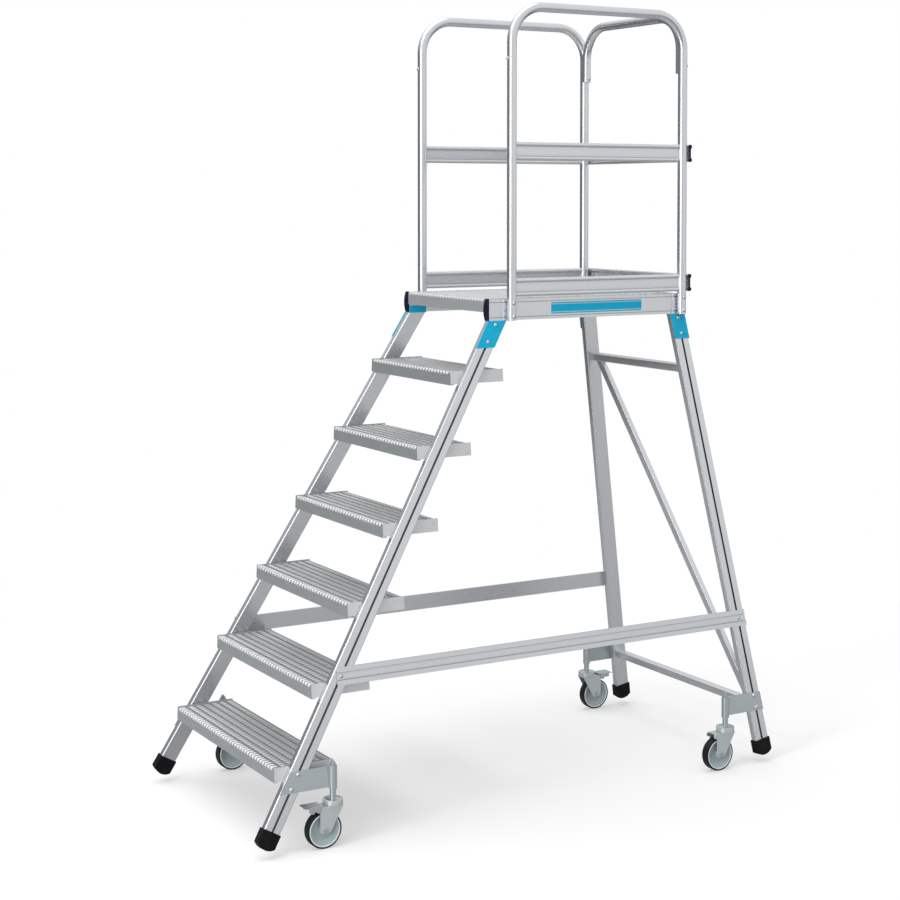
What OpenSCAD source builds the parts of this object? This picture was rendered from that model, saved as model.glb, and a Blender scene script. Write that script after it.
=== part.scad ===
// Mobile platform ladder: six treads between two splayed side frames, a deck with a
// guardrail on three sides, and four sprung swivel casters that lift the feet off the floor.
// Millimetres. +Z is up, +Y runs from the climber to the back, +X is the climber's right.
// The floor is z = 0 and the origin lies under the middle of the ladder.

/* [Steps] */
// Height from one tread to the next, and from the last tread to the deck
tread_rise = 240; // [230:1:250]
// Slope of the ladder from the floor, in degrees
ladder_slope = 59.5; // [57:0.5:62]
// Depth of a tread from nose to rear lip
tread_depth = 207; // [195:1:220]
// How far a tread's nose stands in front of its stringer
nose_overhang = 48; // [40:1:56]
// Drop of a tread's front wall
nose_drop = 44; // [38:1:48]
// Drop of a tread's rear wall
rear_drop = 36; // [30:1:40]
// Wall of the tread extrusion
tread_wall = 3; // [2:0.5:4]
// Radius of the nose
nose_r = 5; // [3.5:0.5:8]
// Height of the grip ribs on top of a tread
rib_h = 2.5; // [1.5:0.5:3]
// Gap between two grip ribs
rib_gap = 11; // [6:1:13]
// Width of the return lips under a tread
return_w = 14; // [8:1:20]
// Depth of the stiffening webs under a tread
web_h = 16; // [8:1:22]
// Thickness of the plate welded to each end of a tread
end_plate_t = 3; // [2:0.5:5]
// Height of that plate below the tread's top
end_plate_drop = 40; // [30:1:46]
// How far that plate stands above the tread's top
end_plate_rise = 3; // [1:0.5:5]

/* [Side frames] */
// Clear width between the two side frames, carried down to the floor
base_w = 860; // [830:1:890]
// Splay of each side frame from upright, in degrees
splay = 5.8; // [5:0.1:6.5]
// Lean of the rear legs from upright, in degrees
rear_lean = 10.1; // [8:0.1:12]
// Width of a leg, seen from the side
leg_w = 58; // [54:1:62]
// Thickness of a leg
leg_t = 26; // [22:1:30]
// Wall of the leg extrusion
leg_wall = 2.5; // [2:0.25:3]
// Corner radius of the leg extrusion
leg_corner = 4; // [2:0.5:5]
// Width of the bolt slot along the outer face
slot_w = 8; // [5.6:0.1:9]
// Depth of the bolt slot
slot_d = 8; // [7:0.5:10]
// Set of the rear legs' centre line from the rear posts, at the deck beams
rear_leg_set = -5; // [-12:1:2]
// Height of the side braces' centre line
brace_z = 524; // [490:1:570]
// Height of a side brace
brace_h = 58; // [50:1:62]
// Thickness of a side brace at the bands along its edges
brace_t = 6; // [5:0.5:9]
// Height of those bands
brace_band = 16; // [12:1:16]
// Thickness of the web between those bands
brace_wall = 3.2; // [2.5:0.1:4]

/* [Rear frame] */
// Height of the upper crossbar's centre line
crossbar_top_z = 1432; // [1380:1:1470]
// Height of the lower crossbar's centre line
crossbar_bottom_z = 213; // [195:1:230]
// Side of the square crossbars
crossbar_d = 28; // [24:1:32]
// Wall of the crossbars and of the diagonal
crossbar_wall = 2.5; // [2:0.5:3]
// Width of the diagonal, seen from behind
diagonal_w = 32; // [26:1:36]
// Depth of the diagonal
diagonal_t = 19; // [16:1:23]
// Distance of the diagonal's upper end from the left rear leg
diagonal_set = 44; // [20:1:60]

/* [Deck] */
// Thickness of the beam behind the deck
rear_beam_t = 20; // [16:1:26]
// Gap between two deck planks
plank_gap = 2; // [1:0.5:4]
// Height of the beams at the sides of the deck
beam_h = 72; // [68:1:80]
// Thickness of those beams
beam_t = 28; // [24:1:32]
// Wall of those beams
beam_wall = 3; // [2:0.5:4]
// Depth of the two grooves along a beam's outer face
groove_d = 1.5; // [0.5:0.25:1.75]
// Width of those grooves
groove_w = 3; // [2:0.5:5]
// Distance of those grooves from the beam's edges
groove_set = 9; // [6:0.5:11]
// Distance of the beams' front end behind the deck's nose
beam_set = 4; // [2:1:8]
// Length of a beam's end cap
cap_l = 7; // [5:1:10]
// Radius of the bulge of an end cap
cap_r = 110; // [70:5:160]
// How far an end cap stands above its beam
cap_rise = 4; // [2:0.5:6]

/* [Leg brackets] */
// Sheet thickness of the brackets on top of the legs
bracket_t = 3; // [2:0.5:4]
// Height of a bracket below the beam
bracket_h = 90; // [80:1:100]
// How far a bracket is wider than its leg, on each side
bracket_margin = 2; // [1:0.5:4]
// Distance in height between a bracket's two bolts
bracket_bolt_pitch = 56; // [46:1:60]
// Height of the tab against the beam's inner face
bracket_tab = 22; // [15:1:26]

/* [Guardrail] */
// Outer diameter of the guardrail tube
tube_d = 33; // [30:1:36]
// Wall of the guardrail tube
tube_wall = 2; // [1.5:0.25:3]
// Height of the top rail's centre line over the deck
rail_h = 991; // [950:1:1050]
// Distance between the front and rear posts
rail_l = 718; // [690:1:740]
// Distance of the front posts behind the deck's nose
post_set = 83; // [78:1:95]
// Bend radius of the tube's centre line
bend_r = 120; // [100:1:140]
// Height of the mid rails' centre line over the deck
mid_rail_h = 502; // [450:1:550]
// Height of the toe boards' centre line over the deck
toe_board_h = 40; // [38:1:60]
// Height of a mid rail or toe board
board_h = 62; // [56:1:70]
// Diameter of the beads along a board's edges
bead_d = 15; // [12:0.5:18]
// Thickness of the web between those beads
web_t = 5; // [4:0.5:7]
// Distance of the rear handrail's lower ends below the top rail's centre line
handrail_drop = 204; // [180:1:230]
// Distance between the centre lines of a rear post and of the rear handrail's end, which is cut out round it
handrail_set = 14; // [12:1:20]
// Thickness of the caps on the rear boards
board_cap_t = 4; // [3:0.5:6]
// Distance between the two bolts that hold a post to its beam
post_bolt_pitch = 46; // [40:1:50]
// Distance of the plugs and handrail bolts below the top rail's centre line
plug_drop = 178; // [165:1:190]

/* [Feet] */
// Height of the feet over the floor while the casters carry the ladder
foot_lift = 23; // [18:1:24]
// Wall of a foot around the leg
foot_wall = 3; // [2:0.5:4]
// Length of a foot along the leg
foot_l = 58; // [52:1:66]
// Length of solid rubber below the leg's end
foot_sole = 26; // [20:1:32]
// Radius of a foot's rounded sole
foot_r = 46; // [42:1:52]

/* [Casters] */
// Wheel diameter
wheel_d = 118; // [105:1:120]
// Wheel width
wheel_w = 30; // [26:1:34]
// Radial thickness of the tyre
tyre_t = 5; // [4:0.5:7]
// Distance of the axle behind the swivel axis
trail = 35; // [30:1:40]
// Diameter of the axle
axle_d = 12; // [10:0.5:14]
// Thickness of the fork's sheet
fork_t = 3; // [2.5:0.25:4]
// Diameter of the fork's round crown
crown_d = 65; // [60:1:70]
// Height of that crown
crown_h = 14; // [11:1:17]
// Gap between the wheel and the fork's bridge
bridge_gap = 14; // [13:1:20]
// Diameter of the stem that slides in the bracket's tube
stem_d = 20; // [18:0.5:22]
// Length of bare stem between the swivel and the tube
stem_bare = 27; // [26:1:32]
// Diameter of the kingpin that the fork turns on
kingpin_d = 12; // [10:0.5:14]
// Diameter of the rod that the spring sits on
rod_d = 10; // [8:0.5:11]
// Outer diameter of the bracket's tube
sleeve_d = 27; // [26:0.5:31]
// Length of the bracket's tube
sleeve_l = 74; // [70:1:80]
// Thickness of the tube's top
sleeve_top = 4; // [3:0.5:6]
// Length of stem held in the tube
stem_grip = 30; // [26:1:34]
// Distance of the swivel axis outside the leg's outer face, at the bracket's mid height
caster_out = 6; // [3:1:9]
// Distance of the front swivel axes behind the stringers' rear edge
caster_reach_front = 97; // [90:1:105]
// Distance of the rear swivel axes in front of the rear legs' front edge
caster_reach_rear = 110; // [100:1:118]
// Thickness of the caster bracket's plate
plate_t = 4; // [3:0.5:6]
// Height of the caster bracket's plate
plate_h = 66; // [58:1:70]
// Distance in height between that plate's two bolts
plate_bolt_pitch = 43; // [36:1:46]
// Length of the brake pedal behind its pivot
pedal_l = 46; // [40:1:50]

/* [Fasteners] */
// Diameter of the bolts
bolt_d = 5; // [4:0.25:5.2]
// Diameter of the bolt heads
bolt_head_d = 14; // [11:0.5:15]
// Height of the domed bolt heads
bolt_head_h = 5; // [3.5:0.5:6]

/* [Clearances] */
// Radial clearance of sliding and turning fits
running_fit = 0.08; // [0.05:0.01:0.1]
// Side clearance between a part that turns and its neighbour
side_gap = 0.3; // [0.25:0.05:0.5]
// Radial clearance of a bolt in its hole
bolt_fit = 0.2; // [0.1:0.05:0.3]
// Clearance of a foot on its leg and of a board on its post
seat_fit = 0.1; // [0.05:0.05:0.2]

/* [Hidden] */
$fn = 64;

// Counts
tread_count = 6;
plank_count = 4;
rib_count = 7;
web_count = 2;
deck_step = tread_count + 1;

// Sides and corners: 1 is right or rear, -1 is left or front
RIGHT = 1;
LEFT = -1;
FRONT = -1;
REAR = 1;

// Larger than the ladder, for cutting planes
far = 4000;

// Colours
aluminium = "#c3c7cb";
tread_grey = "#a9aeb1";
zinc = "#b4c3c8";
bracket_blue = "#23a5cd";
cap_navy = "#14122d";
rubber = "#17181a";
rim_grey = "#9db4bd";

// Slopes in the plane of a side frame, which is splayed about the floor line
run = tread_rise / tan(ladder_slope);
stringer_angle = atan(tan(ladder_slope) / cos(splay));
rear_leg_angle = 90 + atan(tan(rear_lean) * cos(splay));

// Heights
deck_z = foot_lift + deck_step * tread_rise;
beam_z = deck_z - beam_h;
leg_top_z = beam_z - bracket_t;
rail_z = deck_z + rail_h;
plug_z = rail_z - plug_drop;

// Feet, measured along their legs
foot_half = leg_w / 2 + foot_wall;
foot_low = (foot_lift + foot_wall * sin(splay)) / cos(splay);
sole_rise = sqrt(foot_r * foot_r - foot_half * foot_half);
function foot_centre(angle) = (foot_r + foot_low + leg_w / 2 * cos(angle)) / sin(angle);

// Places along Y, first measured from the line of the tread noses at the foot of the ladder
stringer_from_nose = nose_overhang - foot_lift / tan(ladder_slope);
front_post_from_nose = deck_step * run + post_set;
rear_leg_from_nose = front_post_from_nose + rail_l + rear_leg_set
    - leg_w / 2 / sin(rear_leg_angle) - beam_z / cos(splay) / tan(rear_leg_angle);
front_end_from_nose = stringer_from_nose - foot_wall * sin(stringer_angle)
    + (foot_centre(stringer_angle) - sole_rise) * cos(stringer_angle);
rear_end_from_nose = rear_leg_from_nose + (leg_w + foot_wall) * sin(rear_leg_angle)
    + (foot_centre(rear_leg_angle) - sole_rise) * cos(rear_leg_angle);

// The same places with the origin under the middle of the ladder
nose_0 = -(front_end_from_nose + rear_end_from_nose) / 2;
stringer_y = nose_0 + stringer_from_nose;
rear_leg_y = nose_0 + rear_leg_from_nose;
front_post_y = nose_0 + front_post_from_nose;
rear_post_y = front_post_y + rail_l;
function nose_y(step) = nose_0 + step * run;
function step_z(step) = foot_lift + step * tread_rise;

// Deck and beams: the beams' outer faces are flush with the leg brackets
beam_outer = base_w / 2 - beam_z * tan(splay) + (leg_t + bracket_t) / cos(splay);
deck_half = beam_outer - beam_t;
beam_front_y = nose_y(deck_step) + beam_set;
beam_rear_y = rear_post_y + rear_leg_set + leg_w / 2 / sin(rear_leg_angle) + bracket_margin;
rear_beam_y = beam_rear_y - rear_beam_t;
plank_w = (rear_beam_y - nose_y(deck_step)) / plank_count - plank_gap;
rear_beam_z = beam_z + bracket_tab + plank_gap;
rear_beam_h = deck_z - rib_h - rear_beam_z;

// Guardrail
rail_x = beam_outer + tube_d / 2;
handrail_x = rail_x - handrail_set;
rear_board_y = rear_post_y + tube_d / 2 + seat_fit + bead_d / 2;
board_end_x = rail_x + tube_d / 2 - board_cap_t;
post_bolts = [for (side = [-1, 1]) beam_z + beam_h / 2 + side * post_bolt_pitch / 2];

// Heights of the bolts in the legs' slots
bracket_bolts = [for (end = [-1, 1]) beam_z - bracket_h / 2 + end * bracket_bolt_pitch / 2];
function centre_line(z, angle) = (z / cos(splay) + leg_w / 2 * cos(angle)) / sin(angle);

// Casters: small shapes of the stem, fork, rim and pedal
race_h = 5;
race_d = crown_d - 14;
collar_d = stem_d + 6;
kingpin_head_d = kingpin_d + 8;
kingpin_head_h = 4;
nut_d = rod_d + 8;
nut_h = 8;
cross_pin_d = 3;
cross_pin_l = nut_d + 4;
cheek_end = 10;
cheek_end_r = 9;
axle_head_d = axle_d + 6;
axle_head_h = 4;
bridge_front = crown_d / 2 - 6;
neck_d = crown_d - 8;
hub_wall = 7;
rim_web = 8;
rim_lip = 4;
rim_cone = 18;
rim_inset = 1;
tyre_shoulder = 2;
pivot_d = 5;
pivot_boss = 8;
pedal_t = 2.5;
pedal_lift = 3;
pedal_lap = 14;
skirt_l = 32;
skirt_h = 13;
shoe_set = 8;
shoe_l = 10;

// Casters: wheel, fork and stem heights over the floor
wheel_r = wheel_d / 2;
rim_r = wheel_r - tyre_t;
bridge_z = wheel_d + bridge_gap;
crown_z = bridge_z + 2 * fork_t;
swivel_z = crown_z + crown_h;
stem_z = swivel_z + side_gap + race_h;
sleeve_z = stem_z + stem_bare;
sleeve_end_z = sleeve_z + sleeve_l;
stem_shoulder_z = sleeve_z + stem_grip;
spring_top_z = sleeve_end_z - sleeve_top;
plate_mid_z = sleeve_z + plate_h / 2 + 2;
plate_bolts = [for (end = [-1, 1]) plate_mid_z + end * plate_bolt_pitch / 2];
cheek_x = wheel_w / 2 + 4;
cheek_out_x = cheek_x + fork_t;
pivot_y = -(trail + 25);
pivot_z = wheel_d + 9;

// Swivel axes: one distance from the middle for all four, and front and rear places
caster_x = base_w / 2 - plate_mid_z * tan(splay) + leg_t / cos(splay) + caster_out;
front_caster_y = stringer_y + plate_mid_z / cos(splay) / tan(stringer_angle)
    + leg_w / sin(stringer_angle) + caster_reach_front;
rear_caster_y = rear_leg_y + plate_mid_z / cos(splay) / tan(rear_leg_angle) - caster_reach_rear;
function caster_y(end) = end == FRONT ? front_caster_y : rear_caster_y;

// Which way each caster trails while the ladder stands, in degrees about its stem
front_right_yaw = 0;
front_left_yaw = 182;
rear_right_yaw = 1;
rear_left_yaw = 179;

// Shared shapes

// Draws its children on the right, or mirrored on the left
module on_side(side) {
    if (side == RIGHT) children();
    else mirror([1, 0, 0]) children();
}

// A side frame's own axes: x outwards from the inner face, z up the splayed plane
module in_side_frame(side) {
    on_side(side) translate([base_w / 2, 0, 0]) rotate([0, -splay, 0]) children();
}

// A leg's own axes within a side frame: y across from its front edge, z along it
module on_leg(edge_y, angle) {
    translate([0, edge_y, 0]) rotate([angle - 90, 0, 0]) children();
}

module on_stringer() on_leg(stringer_y, stringer_angle) children();
module on_rear_leg() on_leg(rear_leg_y, rear_leg_angle) children();

// Extrudes an outline drawn in Y and Z along X
module along_x(x0, x1) {
    translate([x0, 0, 0]) rotate([90, 0, 90]) linear_extrude(x1 - x0) children();
}

// Extrudes an outline drawn in X and Z along Y
module along_y(y0, y1) {
    translate([0, y1, 0]) rotate([90, 0, 0]) linear_extrude(y1 - y0) children();
}

// Everything above a height
module above(z) {
    translate([-far, -far, z]) cube([2 * far, 2 * far, far]);
}

// Everything in front of a leg, and everything behind it, in the leg's axes
module before_leg() translate([-far / 2, -far, -far]) cube([far, far, 2 * far]);
module behind_leg() translate([-far / 2, leg_w, -far]) cube([far, far, 2 * far]);

// The space between the inner faces of the side frames, less a gap on each side
module between_sides(gap) {
    half_low = base_w / 2 - gap / cos(splay);
    half_high = half_low - deck_z * tan(splay);
    along_y(-far, far)
        polygon([[-half_low, 0], [half_low, 0], [half_high, deck_z], [-half_high, deck_z]]);
}

module rounded_rect(width, height, radius) {
    translate([radius, 0]) square([width - 2 * radius, height]);
    translate([0, radius]) square([width, height - 2 * radius]);
    for (x = [radius, width - radius], y = [radius, height - radius])
        translate([x, y]) circle(radius);
}

// Hollow rectangle centred on the origin
module box_ring(width, height, wall) {
    difference() {
        square([width, height], center = true);
        square([width - 2 * wall, height - 2 * wall], center = true);
    }
}

module tube_ring() {
    difference() {
        circle(d = tube_d);
        circle(d = tube_d - 2 * tube_wall);
    }
}

module straight_tube(length) linear_extrude(length) tube_ring();

// Tube bent to an upside-down U in the XZ plane: the middle of its top is the origin
module bent_tube(span, drop) {
    flat = span - 2 * bend_r;
    for (side = [LEFT, RIGHT]) on_side(side) {
        translate([span / 2, 0, -drop]) straight_tube(drop - bend_r);
        translate([flat / 2, 0, -bend_r]) rotate([90, 0, 0])
            rotate_extrude(angle = 90) translate([bend_r, 0]) tube_ring();
    }
    translate([-flat / 2, 0, 0]) rotate([0, 90, 0]) straight_tube(flat);
}

// Domed bolt with its head above z = 0 and its shank below
module bolt(length) {
    dome_r = (bolt_head_d * bolt_head_d / 4 + bolt_head_h * bolt_head_h) / 2 / bolt_head_h;
    intersection() {
        cylinder(d = bolt_head_d, h = bolt_head_h);
        translate([0, 0, bolt_head_h - dome_r]) sphere(dome_r);
    }
    translate([0, 0, -length]) cylinder(d = bolt_d, h = length);
}

module bolt_hole(length) {
    translate([0, 0, -length]) cylinder(d = bolt_d + 2 * bolt_fit, h = 2 * length);
}

// Places of bolts on a leg's centre line, in the leg's axes, on a plate of some thickness
module leg_bolt_places(thickness, heights, angle) {
    for (z = heights)
        translate([leg_t + thickness, leg_w / 2, centre_line(z, angle)]) rotate([0, 90, 0]) children();
}

module brace_bolt_place(angle) leg_bolt_places(brace_wall, [brace_z], angle) children();

// Legs, feet and braces

// Leg extrusion: x outwards, y across, with a bolt slot in the outer face
module leg_section() {
    slot_y = (leg_w - slot_w) / 2;
    difference() {
        rounded_rect(leg_t, leg_w, leg_corner);
        difference() {
            translate([leg_wall, leg_wall]) square([leg_t - 2 * leg_wall, leg_w - 2 * leg_wall]);
            translate([leg_t - slot_d - leg_wall, slot_y - leg_wall])
                square([slot_d + leg_wall, slot_w + 2 * leg_wall]);
        }
        translate([leg_t - slot_d, slot_y]) square([leg_t, slot_w]);
    }
}

// A leg from its foot to the bracket under the beam
module leg(side, edge_y, angle) {
    low = foot_centre(angle) - foot_r + foot_sole;
    length = centre_line(beam_z, angle) + leg_w - low;
    difference() {
        in_side_frame(side) on_leg(edge_y, angle)
            translate([0, 0, low]) linear_extrude(length) leg_section();
        above(leg_top_z);
    }
}

module stringer(side) color(aluminium) leg(side, stringer_y, stringer_angle);
module rear_leg(side) color(aluminium) leg(side, rear_leg_y, rear_leg_angle);

// Rubber foot in its leg's axes
module foot(angle) {
    centre = foot_centre(angle);
    difference() {
        along_x(-foot_wall, leg_t + foot_wall) intersection() {
            translate([-foot_wall, centre - foot_r]) square([2 * foot_half, foot_l]);
            union() {
                translate([leg_w / 2, centre]) circle(foot_r);
                translate([-foot_wall, centre - sole_rise]) square([2 * foot_half, foot_l]);
            }
        }
        translate([-seat_fit, -seat_fit, centre - foot_r + foot_sole]) linear_extrude(foot_l)
            rounded_rect(leg_t + 2 * seat_fit, leg_w + 2 * seat_fit, leg_corner + seat_fit);
    }
}

module leg_feet() {
    color(rubber) for (side = [LEFT, RIGHT]) in_side_frame(side) {
        on_stringer() foot(stringer_angle);
        on_rear_leg() foot(rear_leg_angle);
    }
}

// Brace extrusion: x outwards, y up, a recessed web between two bands
module brace_section() {
    square([brace_wall, brace_h]);
    for (y = [0, brace_h - brace_band]) translate([0, y]) square([brace_t, brace_band]);
}

// Side brace on the legs' outer faces, square at the stringer and cut along the rear leg's edge
module side_brace(side) {
    low = (brace_z - brace_h / 2) / cos(splay);
    front_y = stringer_y + (low + brace_h) / tan(stringer_angle);
    color(aluminium) in_side_frame(side) difference() {
        translate([leg_t, 0, low]) along_y(front_y, far / 2) brace_section();
        on_rear_leg() behind_leg();
        on_stringer() brace_bolt_place(stringer_angle) bolt_hole(2 * brace_t);
        on_rear_leg() brace_bolt_place(rear_leg_angle) bolt_hole(2 * brace_t);
    }
}

// Treads and deck

// Tread extrusion: y back from the nose, z down from the rib tops
module plank_section(depth, front_drop) {
    pitch = (depth - nose_r) / rib_count;
    plate_low = -rib_h - tread_wall;
    translate([nose_r, plate_low]) square([depth - nose_r, tread_wall]);
    translate([nose_r, -nose_r]) circle(nose_r);
    translate([0, -front_drop]) square([tread_wall, front_drop - nose_r]);
    translate([depth - tread_wall, -rear_drop]) square([tread_wall, rear_drop - rib_h]);
    translate([0, -front_drop]) square([return_w, tread_wall]);
    translate([depth - return_w, -rear_drop]) square([return_w, tread_wall]);
    for (k = [0 : rib_count - 1])
        translate([nose_r + k * pitch, -rib_h - tread_wall / 2])
            square([pitch - rib_gap, rib_h + tread_wall / 2]);
    for (k = [1 : web_count])
        translate([k * depth / (web_count + 1), plate_low - web_h])
            square([tread_wall, web_h + tread_wall]);
}

// Tread with a plate welded to each end, parallel to the side frames
module tread(step) {
    color(tread_grey) {
        intersection() {
            translate([0, nose_y(step), step_z(step)])
                along_x(-base_w / 2, base_w / 2) plank_section(tread_depth, nose_drop);
            between_sides(end_plate_t / 2);
        }
        for (side = [LEFT, RIGHT]) in_side_frame(side)
            translate([-end_plate_t, nose_y(step), (step_z(step) - end_plate_drop) / cos(splay)])
                cube([end_plate_t, tread_depth, (end_plate_drop + end_plate_rise) / cos(splay)]);
    }
}

module deck_planks() {
    color(tread_grey) for (k = [0 : plank_count - 1])
        translate([0, nose_y(deck_step) + k * (plank_w + plank_gap), deck_z])
            along_x(-deck_half, deck_half) plank_section(plank_w, k == 0 ? nose_drop : rear_drop);
}

// Deck beam extrusion: x outwards from the inner face, y up
module beam_section() {
    difference() {
        square([beam_t, beam_h]);
        translate([beam_wall, beam_wall]) square([beam_t - 2 * beam_wall, beam_h - 2 * beam_wall]);
        for (y = [groove_set, beam_h - groove_set - groove_w])
            translate([beam_t - groove_d, y]) square([beam_t, groove_w]);
    }
}

// Outer ends of the post bolts on one side, turned so that they point outwards
module post_bolt_places() {
    for (y = [front_post_y, rear_post_y], z = post_bolts)
        translate([beam_outer + tube_d, y, z]) rotate([0, 90, 0]) children();
}

module platform_beam(side) {
    color(aluminium) on_side(side) difference() {
        translate([deck_half, 0, beam_z]) along_y(beam_front_y, beam_rear_y) beam_section();
        post_bolt_places() bolt_hole(tube_d + 2 * beam_wall);
    }
}

module platform_rear_beam() {
    color(aluminium)
        translate([0, rear_beam_y + rear_beam_t / 2, rear_beam_z + rear_beam_h / 2])
            along_x(-deck_half, deck_half) box_ring(rear_beam_t, rear_beam_h, beam_wall);
}

// Cap on a beam's end, bulging away from the beam; y is 0 at the beam's end
module beam_cap() {
    translate([deck_half, 0, beam_z + beam_h / 2]) along_x(0, beam_t) intersection() {
        translate([-cap_l, -beam_h / 2]) square([cap_l, beam_h + cap_rise]);
        translate([cap_r - cap_l, 0]) circle(cap_r, $fn = 360);
    }
}

module beam_end_caps() {
    color(cap_navy) for (side = [LEFT, RIGHT]) on_side(side) {
        translate([0, beam_front_y, 0]) beam_cap();
        translate([0, beam_rear_y, 0]) mirror([0, 1, 0]) beam_cap();
    }
}

// Rear frame, in the plane of the rear legs

// Axes on the rear legs' centre plane: z up along the plane from the floor
module in_rear_plane() {
    translate([0, rear_leg_y + leg_w / 2 / sin(rear_leg_angle), 0]) rotate([rear_lean, 0, 0]) children();
}

function up_rear_plane(z) = z / cos(rear_lean);

module rear_crossbar(z) {
    color(aluminium) intersection() {
        in_rear_plane() translate([0, 0, up_rear_plane(z)])
            along_x(-base_w / 2, base_w / 2) box_ring(crossbar_d, crossbar_d, crossbar_wall);
        between_sides(0);
    }
}

module rear_diagonal_brace() {
    low = up_rear_plane(crossbar_bottom_z) + crossbar_d / 2;
    high = up_rear_plane(crossbar_top_z) - crossbar_d / 2;
    x_low = base_w / 2 - crossbar_bottom_z * tan(splay);
    x_high = diagonal_set - (base_w / 2 - crossbar_top_z * tan(splay));
    angle = atan((x_low - x_high) / (high - low));
    color(aluminium) intersection() {
        in_rear_plane() translate([(x_low + x_high) / 2, 0, (low + high) / 2]) rotate([0, -angle, 0])
            translate([0, 0, -far / 4]) linear_extrude(far / 2)
                box_ring(diagonal_w, diagonal_t, crossbar_wall);
        in_rear_plane() translate([-far / 2, -far / 2, low]) cube([far, far, high - low]);
        between_sides(0);
    }
}

// Sheet brackets between the legs and the beams

// Plate on a leg's outer face, a shelf under the beam and a tab on the beam's inner face
module leg_bracket(edge_y, angle) {
    top_y = edge_y + beam_z / cos(splay) / tan(angle);
    top_l = leg_w / sin(angle);
    intersection() {
        in_side_frame(RIGHT) on_leg(edge_y, angle) difference() {
            translate([leg_t, -bracket_margin, 0])
                cube([bracket_t, leg_w + 2 * bracket_margin, far]);
            leg_bolt_places(bracket_t, bracket_bolts, angle) bolt_hole(2 * bracket_t);
        }
        translate([0, -far, beam_z - bracket_h]) cube([far, 2 * far, bracket_h]);
    }
    translate([deck_half - bracket_t, top_y, leg_top_z])
        cube([beam_t + bracket_t, top_l, bracket_t]);
    translate([deck_half - bracket_t, top_y, leg_top_z])
        cube([bracket_t, top_l, bracket_t + bracket_tab]);
}

module leg_brackets() {
    color(bracket_blue) for (side = [LEFT, RIGHT]) on_side(side) {
        leg_bracket(stringer_y, stringer_angle);
        leg_bracket(rear_leg_y, rear_leg_angle);
    }
}

// Guardrail

// Places of the plugs on the outer ends of the posts: front posts to the front, rear to the back
module plug_places() {
    translate([rail_x, front_post_y - tube_d / 2, plug_z]) rotate([90, 0, 0]) children();
    translate([rail_x, rear_post_y + tube_d / 2, plug_z]) rotate([-90, 0, 0]) children();
}

// Bolt through the rear handrail's end into the post, from the inside
module handrail_bolt_place() {
    translate([handrail_x - tube_d / 2, rear_post_y, plug_z - bolt_head_d])
        rotate([0, -90, 0]) children();
}

// Bolts through the webs of the rear boards into the rear posts
module board_bolt_places() {
    for (z = [deck_z + mid_rail_h, deck_z + toe_board_h])
        translate([rail_x, rear_board_y + web_t / 2, z]) rotate([-90, 0, 0]) children();
}

board_bolt_l = web_t + bead_d / 2 + tube_wall + bolt_d;

// One side: a bent tube from beam to beam
module handrail(side) {
    color(aluminium) on_side(side) difference() {
        translate([rail_x, front_post_y + rail_l / 2, rail_z]) rotate([0, 0, 90])
            bent_tube(rail_l, rail_z - beam_z);
        post_bolt_places() bolt_hole(tube_d + tube_wall);
        plug_places() bolt_hole(tube_d / 2);
        handrail_bolt_place() bolt_hole(handrail_set + tube_wall + bolt_d);
        board_bolt_places() bolt_hole(board_bolt_l + bolt_d);
    }
}

// Board extrusion: two beads joined by a web, centred on the origin
module board_section() {
    for (end = [-1, 1])
        translate([0, end * (board_h - bead_d) / 2]) circle(d = bead_d);
    square([web_t, board_h - bead_d], center = true);
}

// A pair of boards between the posts, their ends coped round the tubes
module side_boards(height) {
    color(aluminium) for (side = [LEFT, RIGHT]) on_side(side) difference() {
        translate([rail_x, 0, deck_z + height]) along_y(front_post_y, rear_post_y) board_section();
        for (y = [front_post_y, rear_post_y])
            translate([rail_x, y, deck_z + height - board_h])
                cylinder(d = tube_d + 2 * seat_fit, h = 2 * board_h);
    }
}

module side_mid_rails() side_boards(mid_rail_h);
module side_toe_boards() side_boards(toe_board_h);

// Room for a rear post and its bend in the rear handrail
module post_room() {
    room_d = tube_d + 2 * seat_fit;
    translate([rail_x, rear_post_y, rail_z - 2 * handrail_drop])
        cylinder(d = room_d, h = 2 * handrail_drop - bend_r);
    translate([rail_x, rear_post_y - bend_r, rail_z - bend_r]) rotate([90, 0, 90])
        rotate_extrude(angle = 90) translate([bend_r, 0]) circle(d = room_d);
}

module rear_handrail() {
    color(aluminium) difference() {
        translate([0, rear_post_y, rail_z]) bent_tube(2 * handrail_x, handrail_drop);
        for (side = [LEFT, RIGHT]) on_side(side) {
            post_room();
            handrail_bolt_place() bolt_hole(tube_d / 2);
        }
    }
}

module rear_board(height) {
    color(aluminium) difference() {
        translate([0, rear_board_y, deck_z + height]) rotate([0, 0, 90])
            along_y(-board_end_x, board_end_x) board_section();
        for (side = [LEFT, RIGHT]) on_side(side) board_bolt_places() bolt_hole(board_bolt_l);
    }
}

module rear_rail_caps() {
    color(cap_navy) for (height = [mid_rail_h, toe_board_h], side = [LEFT, RIGHT]) on_side(side)
        translate([0, rear_board_y, deck_z + height]) rotate([0, 0, -90])
            along_y(board_end_x, board_end_x + board_cap_t) board_section();
}

module guardrail_bolts() {
    color(zinc) for (side = [LEFT, RIGHT]) on_side(side) {
        post_bolt_places() bolt(tube_d + 2 * beam_wall);
        plug_places() bolt(tube_wall + bolt_d);
        handrail_bolt_place() bolt(handrail_set + 2 * tube_wall + bolt_d);
        board_bolt_places() bolt(board_bolt_l);
    }
}

// Caster brackets and the bolts in the legs' slots

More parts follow.
